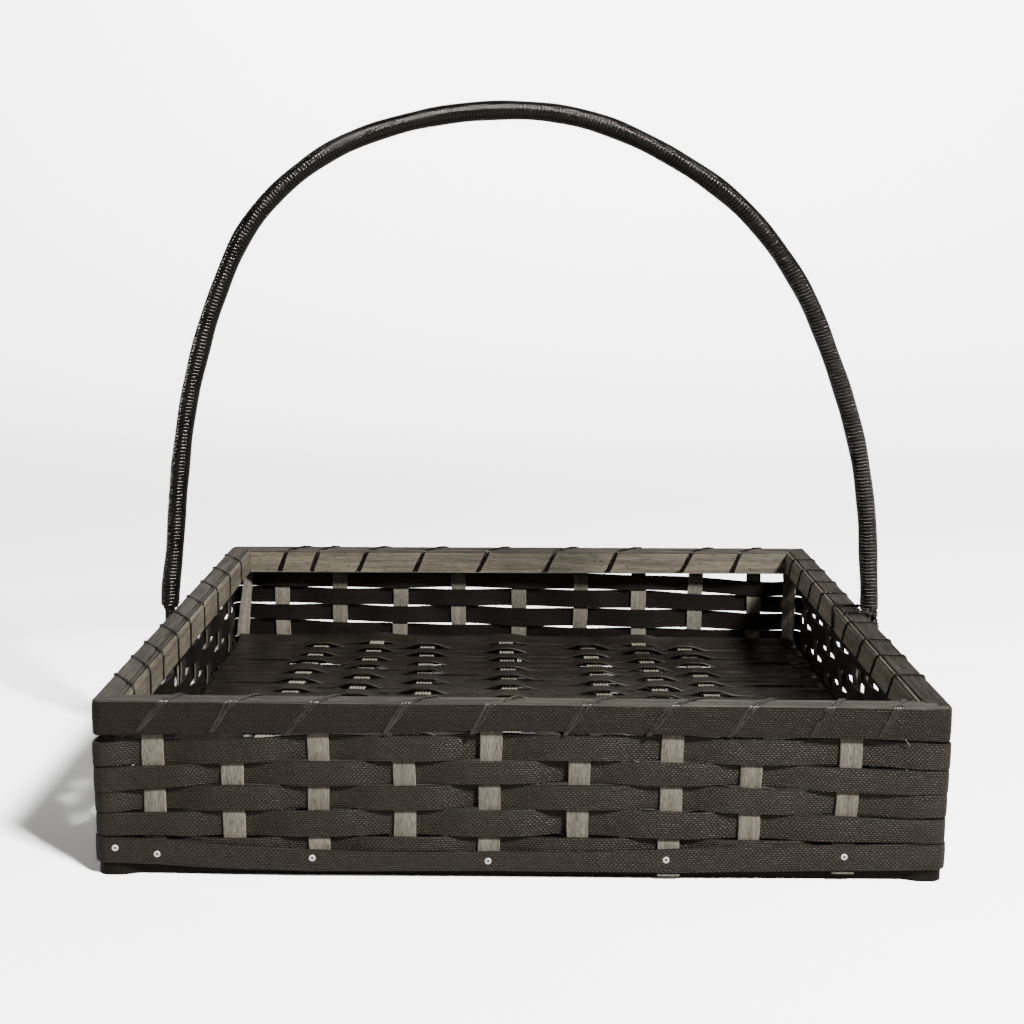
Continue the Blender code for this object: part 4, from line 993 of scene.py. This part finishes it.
slopes = [(arch[min(k + 1, len(arch) - 1)] - arch[max(k - 1, 0)]).normalized()
          for k in range(len(arch))]
slopes[0], slopes[-1] = Vector((0, 0, 1)), Vector((0, 0, -1))
arch_line = []
for k in range(len(arch) - 1):
    pull = (arch[k + 1] - arch[k]).length / 3
    arch_line.extend(interpolate_bezier(arch[k], arch[k] + slopes[k] * pull,
                                        arch[k + 1] - slopes[k + 1] * pull, arch[k + 1], 24)[:-1])
arch_line.append(arch[-1])
leg_middle = LEG_BACK + LEG_THICKNESS / 2
left_leg = [Vector((-leg_middle, 0, z)) for z in np.linspace(0.0600, 0.0755, 12)]
right_leg = [Vector((leg_middle, 0, z)) for z in np.linspace(0.0755, 0.0600, 12)]


def at_places(places, known, points):
    return np.stack([np.interp(places, known, points[:, axis]) for axis in range(3)], 1)


def even_line(points, step, reach):
    """The same line in even steps and smoothed, and how far along it each point lies."""
    run = run_along(points)
    even = np.arange(0, run[-1], step)
    points = at_places(even, run, points)
    return np.stack([smoothed(points[:, axis], reach) for axis in range(3)], 1), even


line, even = even_line(np.array([tuple(p) for p in left_leg + arch_line + right_leg]), 0.0005, 7)
total = even[-1]
outward = unit(np.cross((0.0, 1.0, 0.0), unit(np.gradient(line, axis=0))))
to_back = np.array([[0.0, 1.0, 0.0]])

# In the legs the section is flat, in the arch round
wound_down = np.where(line[:, 0] < 0, 0.0772, 0.0785)
flatness = np.clip((wound_down - line[:, 2]) / (wound_down - 0.0745), 0, 1)
bulge = 0.00012 * np.sin(even * 95) + 0.00010 * np.sin(even * 211 + 1.3)
wound = (WIND_RADIUS - WIND_FLAT * WIND_CORD + bulge) * (1 - flatness)
half_out = wound + LEG_THICKNESS / 2 * flatness
half_along = wound + LEG_WIDTH / 2 * flatness
turn = np.linspace(0, 2 * math.pi, 16, endpoint=False)
core_rings = oval_rings(line[::8], outward[::8], to_back, half_out[::8, None] - CORE_INSET,
                        half_along[::8, None] - CORE_INSET, turn)
core_lay = np.stack(np.broadcast_arrays(even[::8, None], turn[None] * 0.004, 91.0), -1)
tongues = []
for way in (-1, 1):
    z = np.linspace(0.0205, 0.0600, 40)
    depth = np.interp(z, (0.0205, 0.0480, 0.0560, 0.0600), (0.1776, 0.1779, 0.1800, 0.1822))
    thick = np.interp(z, (0.0205, 0.0480, 0.0600), (0.0011, 0.0014, 0.0030))
    centre = np.stack([way * depth, 0 * z, z], 1)
    half = np.interp(z, (0.0205, 0.0215, 0.0600), (0.0030, 0.0038, 0.0038))
    rings = oval_rings(centre, np.array([[way, 0.0, 0.0]]), to_back, thick[:, None],
                       half[:, None], turn)
    lay = np.stack(np.broadcast_arrays(z[:, None], turn[None] * 0.003, 92.0 + way), -1)
    tongues.append(length_of(rings, lay, np.ones(rings.shape[:2])))
handle_cane = piece_of("handle_cane", [length_of(core_rings, core_lay, np.ones(
    core_rings.shape[:2]))] + tongues, stake_finish, 50)
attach(handle_cane, "root")
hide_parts("handle_core")

PLY_LENGTH = 0.0050
wound_length = 2 * math.pi * WIND_RADIUS * total / WIND_PITCH
samples = int(wound_length / 0.00115)
at = np.linspace(0.0012, total - 0.0012, samples)
angle = 2 * math.pi * (total / 2 - at) / WIND_PITCH
middle, out_way = at_places(at, even, line), at_places(at, even, outward)
reach_out, reach_along = np.interp(at, even, half_out), np.interp(at, even, half_along)
radial = out_way * np.cos(angle)[:, None] + to_back * np.sin(angle)[:, None]
coil = (middle + out_way * (reach_out * np.cos(angle))[:, None]
        + to_back * (reach_along * np.sin(angle))[:, None])
coil_way = unit(np.gradient(coil, axis=0))
beside = unit(np.cross(coil_way, radial))
away = np.cross(beside, coil_way)
run = run_along(coil)
turn = np.linspace(0, 2 * math.pi, 10, endpoint=False)
ply = 2 * math.pi * run / PLY_LENGTH
plump = WIND_CORD * (0.84 + 0.18 * np.abs(np.cos(turn[None] - ply[:, None])))
rings = oval_rings(coil, away, beside, WIND_FLAT * plump, plump, turn)
lay = np.stack(np.broadcast_arrays(run[:, None], (turn[None] - ply[:, None]) * 0.0004, 1.0), -1)
wound_finish = cord_finish("handle_cord", (0.0012, 0.0011, 0.0010, 1), (0.005, 0.0046, 0.0040, 1),
                           120.0, 0.0003, 0.17, 0.55)
winding = piece_of("handle_winding", [length_of(rings, lay, np.ones(rings.shape[:2]))],
                   wound_finish, 60)
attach(winding, "root")
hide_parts("handle_wrap")

# The handle's tie
# A twisted cord of two plies binds the right leg: it goes round the rim on both sides of the
# leg, crosses over the leg twice, and then passes to and fro in front of it eight times.
TIE_RADIUS, TIE_BESIDE, TIE_BEHIND, TIE_PITCH, TIE_GROOVE = 0.0009, 0.0056, 0.0088, 0.0022, 0.1678
TIE_PLY_RADIUS, TIE_PLY_OUT, TIE_TWIST, TIE_PASSES, PASS_PITCH = 0.00050, 0.00044, 0.0042, 8, 0.0019
off = 0.0003 + TIE_RADIUS
out, inn = RIM_OUTER + off, RIM_INNER - off
low_z, high_z = RIM_FOOT - off, RIM_TOP + off
near, far = -TIE_BESIDE, -TIE_BESIDE - TIE_PITCH
tie_route = []


def tie_over_rim(s, inner):
    tie_route.extend([(s, inner, low_z + TIE_RADIUS), (s, inner, high_z - TIE_RADIUS),
                      (s, inner + TIE_RADIUS, high_z), (s, out - TIE_RADIUS, high_z)])


def tie_round_leg(way, layer):
    clear = off + layer * 0.0012
    for step in range(9):
        share = step / 8
        angle = way * math.radians(66) * (1 - 2 * share)
        z = high_z - 2 * TIE_RADIUS - (high_z - low_z - 4 * TIE_RADIUS) * share
        tie_route.append(((0.0040 + clear) * math.sin(angle),
                          leg_middle + (LEG_THICKNESS / 2 + clear) * math.cos(angle), z))


tie_over_rim(far, TIE_GROOVE)
tie_route.extend([(far, out, high_z - TIE_RADIUS), (far, out, low_z + TIE_RADIUS),
                  (far, out - TIE_RADIUS, low_z), (near, TIE_GROOVE + TIE_RADIUS, low_z)])
tie_over_rim(near, TIE_GROOVE)
tie_round_leg(-1, 0)
tie_route.extend([(TIE_BEHIND, out, low_z + TIE_RADIUS), (TIE_BEHIND, out - TIE_RADIUS, low_z),
                  (TIE_BEHIND + 0.010, inn + TIE_RADIUS, low_z),
                  (TIE_BEHIND + 0.010, inn, low_z + TIE_RADIUS)])
tie_over_rim(TIE_BEHIND, inn)
tie_round_leg(1, 1)
for wrap in range(TIE_PASSES):
    way = (-1) ** wrap
    for step in range(9):
        angle = -way * math.radians(80) * (1 - step / 4)
        tie_route.append((0.0056 * math.sin(angle), leg_middle + 0.0034 * math.cos(angle),
                          low_z + 0.0022 + PASS_PITCH * (wrap + step / 8)))
tie_route.append((near, out, high_z - 3 * TIE_RADIUS))
route, even = even_line(wall_point(1, *np.array(tie_route).T), 0.00035, 3)
tangent = unit(np.gradient(route, axis=0))
guide = unit(np.cross(tangent, (0.21, 0.35, 0.91)))
beside = np.cross(tangent, guide)
plies = []
for ply in range(2):
    angle = 2 * math.pi * even / TIE_TWIST + ply * math.pi
    path = route + TIE_PLY_OUT * (guide * np.cos(angle)[:, None] + beside * np.sin(angle)[:, None])
    plies.append(round_cord(path, TIE_PLY_RADIUS, ply))
tie = piece_of("handle_tie_cord", plies, lash_finish, 60)
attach(tie, "root")
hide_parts("handle_tie")

# The floor mat
# Thirty-three stained strips lie crosswise, side by side, and seven pale strips are woven
# lengthwise through them. Each dark strip rides up over every second pale one, and the last
# one tilts up a little towards the back wall.
MAT_LEVEL, MAT_OVER, MAT_UNDER, MAT_PITCH, MAT_EDGE = 0.0167, 0.0028, -0.0005, 0.01025, 0.1732
MAT_STRIPS, MAT_STRIP_WIDTH, MAT_STRIP_THICKNESS = 33, 0.0097, 0.0009
RIB_PITCH, RIB_WIDTH, RIB_THICKNESS = 0.00176, 0.00160, 0.0008
WARP_BACKS = (-0.1187, -0.0865, -0.0561, -0.0077, 0.0420, 0.0744, 0.1011)
WARP_MIDDLES = (-0.1283, -0.0910, -0.0514, -0.0036, 0.0491, 0.0808, 0.1086)
mat_finish = stained_finish("mat_stained_cane", (0.0045, 0.0036, 0.0028, 1),
                            (0.0175, 0.0144, 0.0114, 1), 0.0, 0.35)


def warp_place(warp, y):
    share = np.clip(np.asarray(y) / HALF, 0, 1)
    return WARP_MIDDLES[warp] + (WARP_BACKS[warp] - WARP_MIDDLES[warp]) * share


dark_strips = []
for strip in range(MAT_STRIPS):
    y = (strip - (MAT_STRIPS - 1) / 2) * MAT_PITCH
    x = np.linspace(-MAT_EDGE, MAT_EDGE, 220)
    knots, levels = [-MAT_EDGE], [0.0]
    for warp in range(7):
        over = (warp + strip) % 2 == 1
        place = float(warp_place(warp, y))
        for way, share in ((-0.0155, 0.0), (-0.0026, 1.0), (0.0026, 1.0), (0.0155, 0.0)):
            knots.append(place + way)
            levels.append((MAT_OVER if over else MAT_UNDER) * share)
    knots.append(MAT_EDGE)
    levels.append(0.0)
    z = MAT_LEVEL + eased(x, knots, levels) + 0.00030 * np.sin(x * 63 + strip * 2.4)
    y = y + 0.00016 * np.sin(x * 33 + strip * 0.7) + 0.00010 * np.sin(x * 71 + strip * 2.3)
    lean = 0.06 * np.sin(x * 41 + strip * 1.3)
    if strip == MAT_STRIPS - 1:
        y, z = y + 0.0010, MAT_LEVEL + 0.5 * (z - MAT_LEVEL) + 0.0014
        lean = lean + 0.36
    centre = np.stack([x, y, z], 1)
    across = np.stack([0 * x, np.cos(lean), np.sin(lean)], 1)
    up = np.stack([0 * x, -np.sin(lean), np.cos(lean)], 1)
    dark_strips.append(cane_strip(centre, across, up, MAT_STRIP_WIDTH, MAT_STRIP_THICKNESS,
                                  0.00035, strip))
mat_weft = piece_of("floor_mat_dark", dark_strips, mat_finish, 32)
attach(mat_weft, "root")
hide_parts("floor_mat")

ribbed_finish = pale_finish("ribbed_cane", (0.12, 0.105, 0.080, 1), (0.36, 0.33, 0.265, 1),
                            0.3, 0.3, 1500.0, 300.0, 1.0)
pale_strips = []
for warp in range(7):
    y = np.linspace(-MAT_EDGE, MAT_EDGE, 420)
    knots, levels = [-MAT_EDGE], [MAT_LEVEL]
    for strip in range(MAT_STRIPS - 1):
        over = (warp + strip) % 2 == 0
        place = (strip - (MAT_STRIPS - 1) / 2) * MAT_PITCH
        for way in (-0.0022, 0.0022):
            knots.append(place + way)
            levels.append(MAT_LEVEL + (0.0013 if over else -0.0002))
    knots.append(MAT_EDGE)
    levels.append(MAT_LEVEL)
    x = warp_place(warp, y)
    for rib in range(5):
        centre = np.stack([x + (rib - 2) * RIB_PITCH, y, eased(y, knots, levels)], 1)
        pale_strips.append(cane_strip(centre, (1.0, 0.0, 0.0), (0.0, 0.0, 1.0), RIB_WIDTH,
                                      RIB_THICKNESS, 0.00020, rib + 10 * warp))
mat_warp = piece_of("floor_mat_pale", pale_strips, ribbed_finish, 32)
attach(mat_warp, "root")
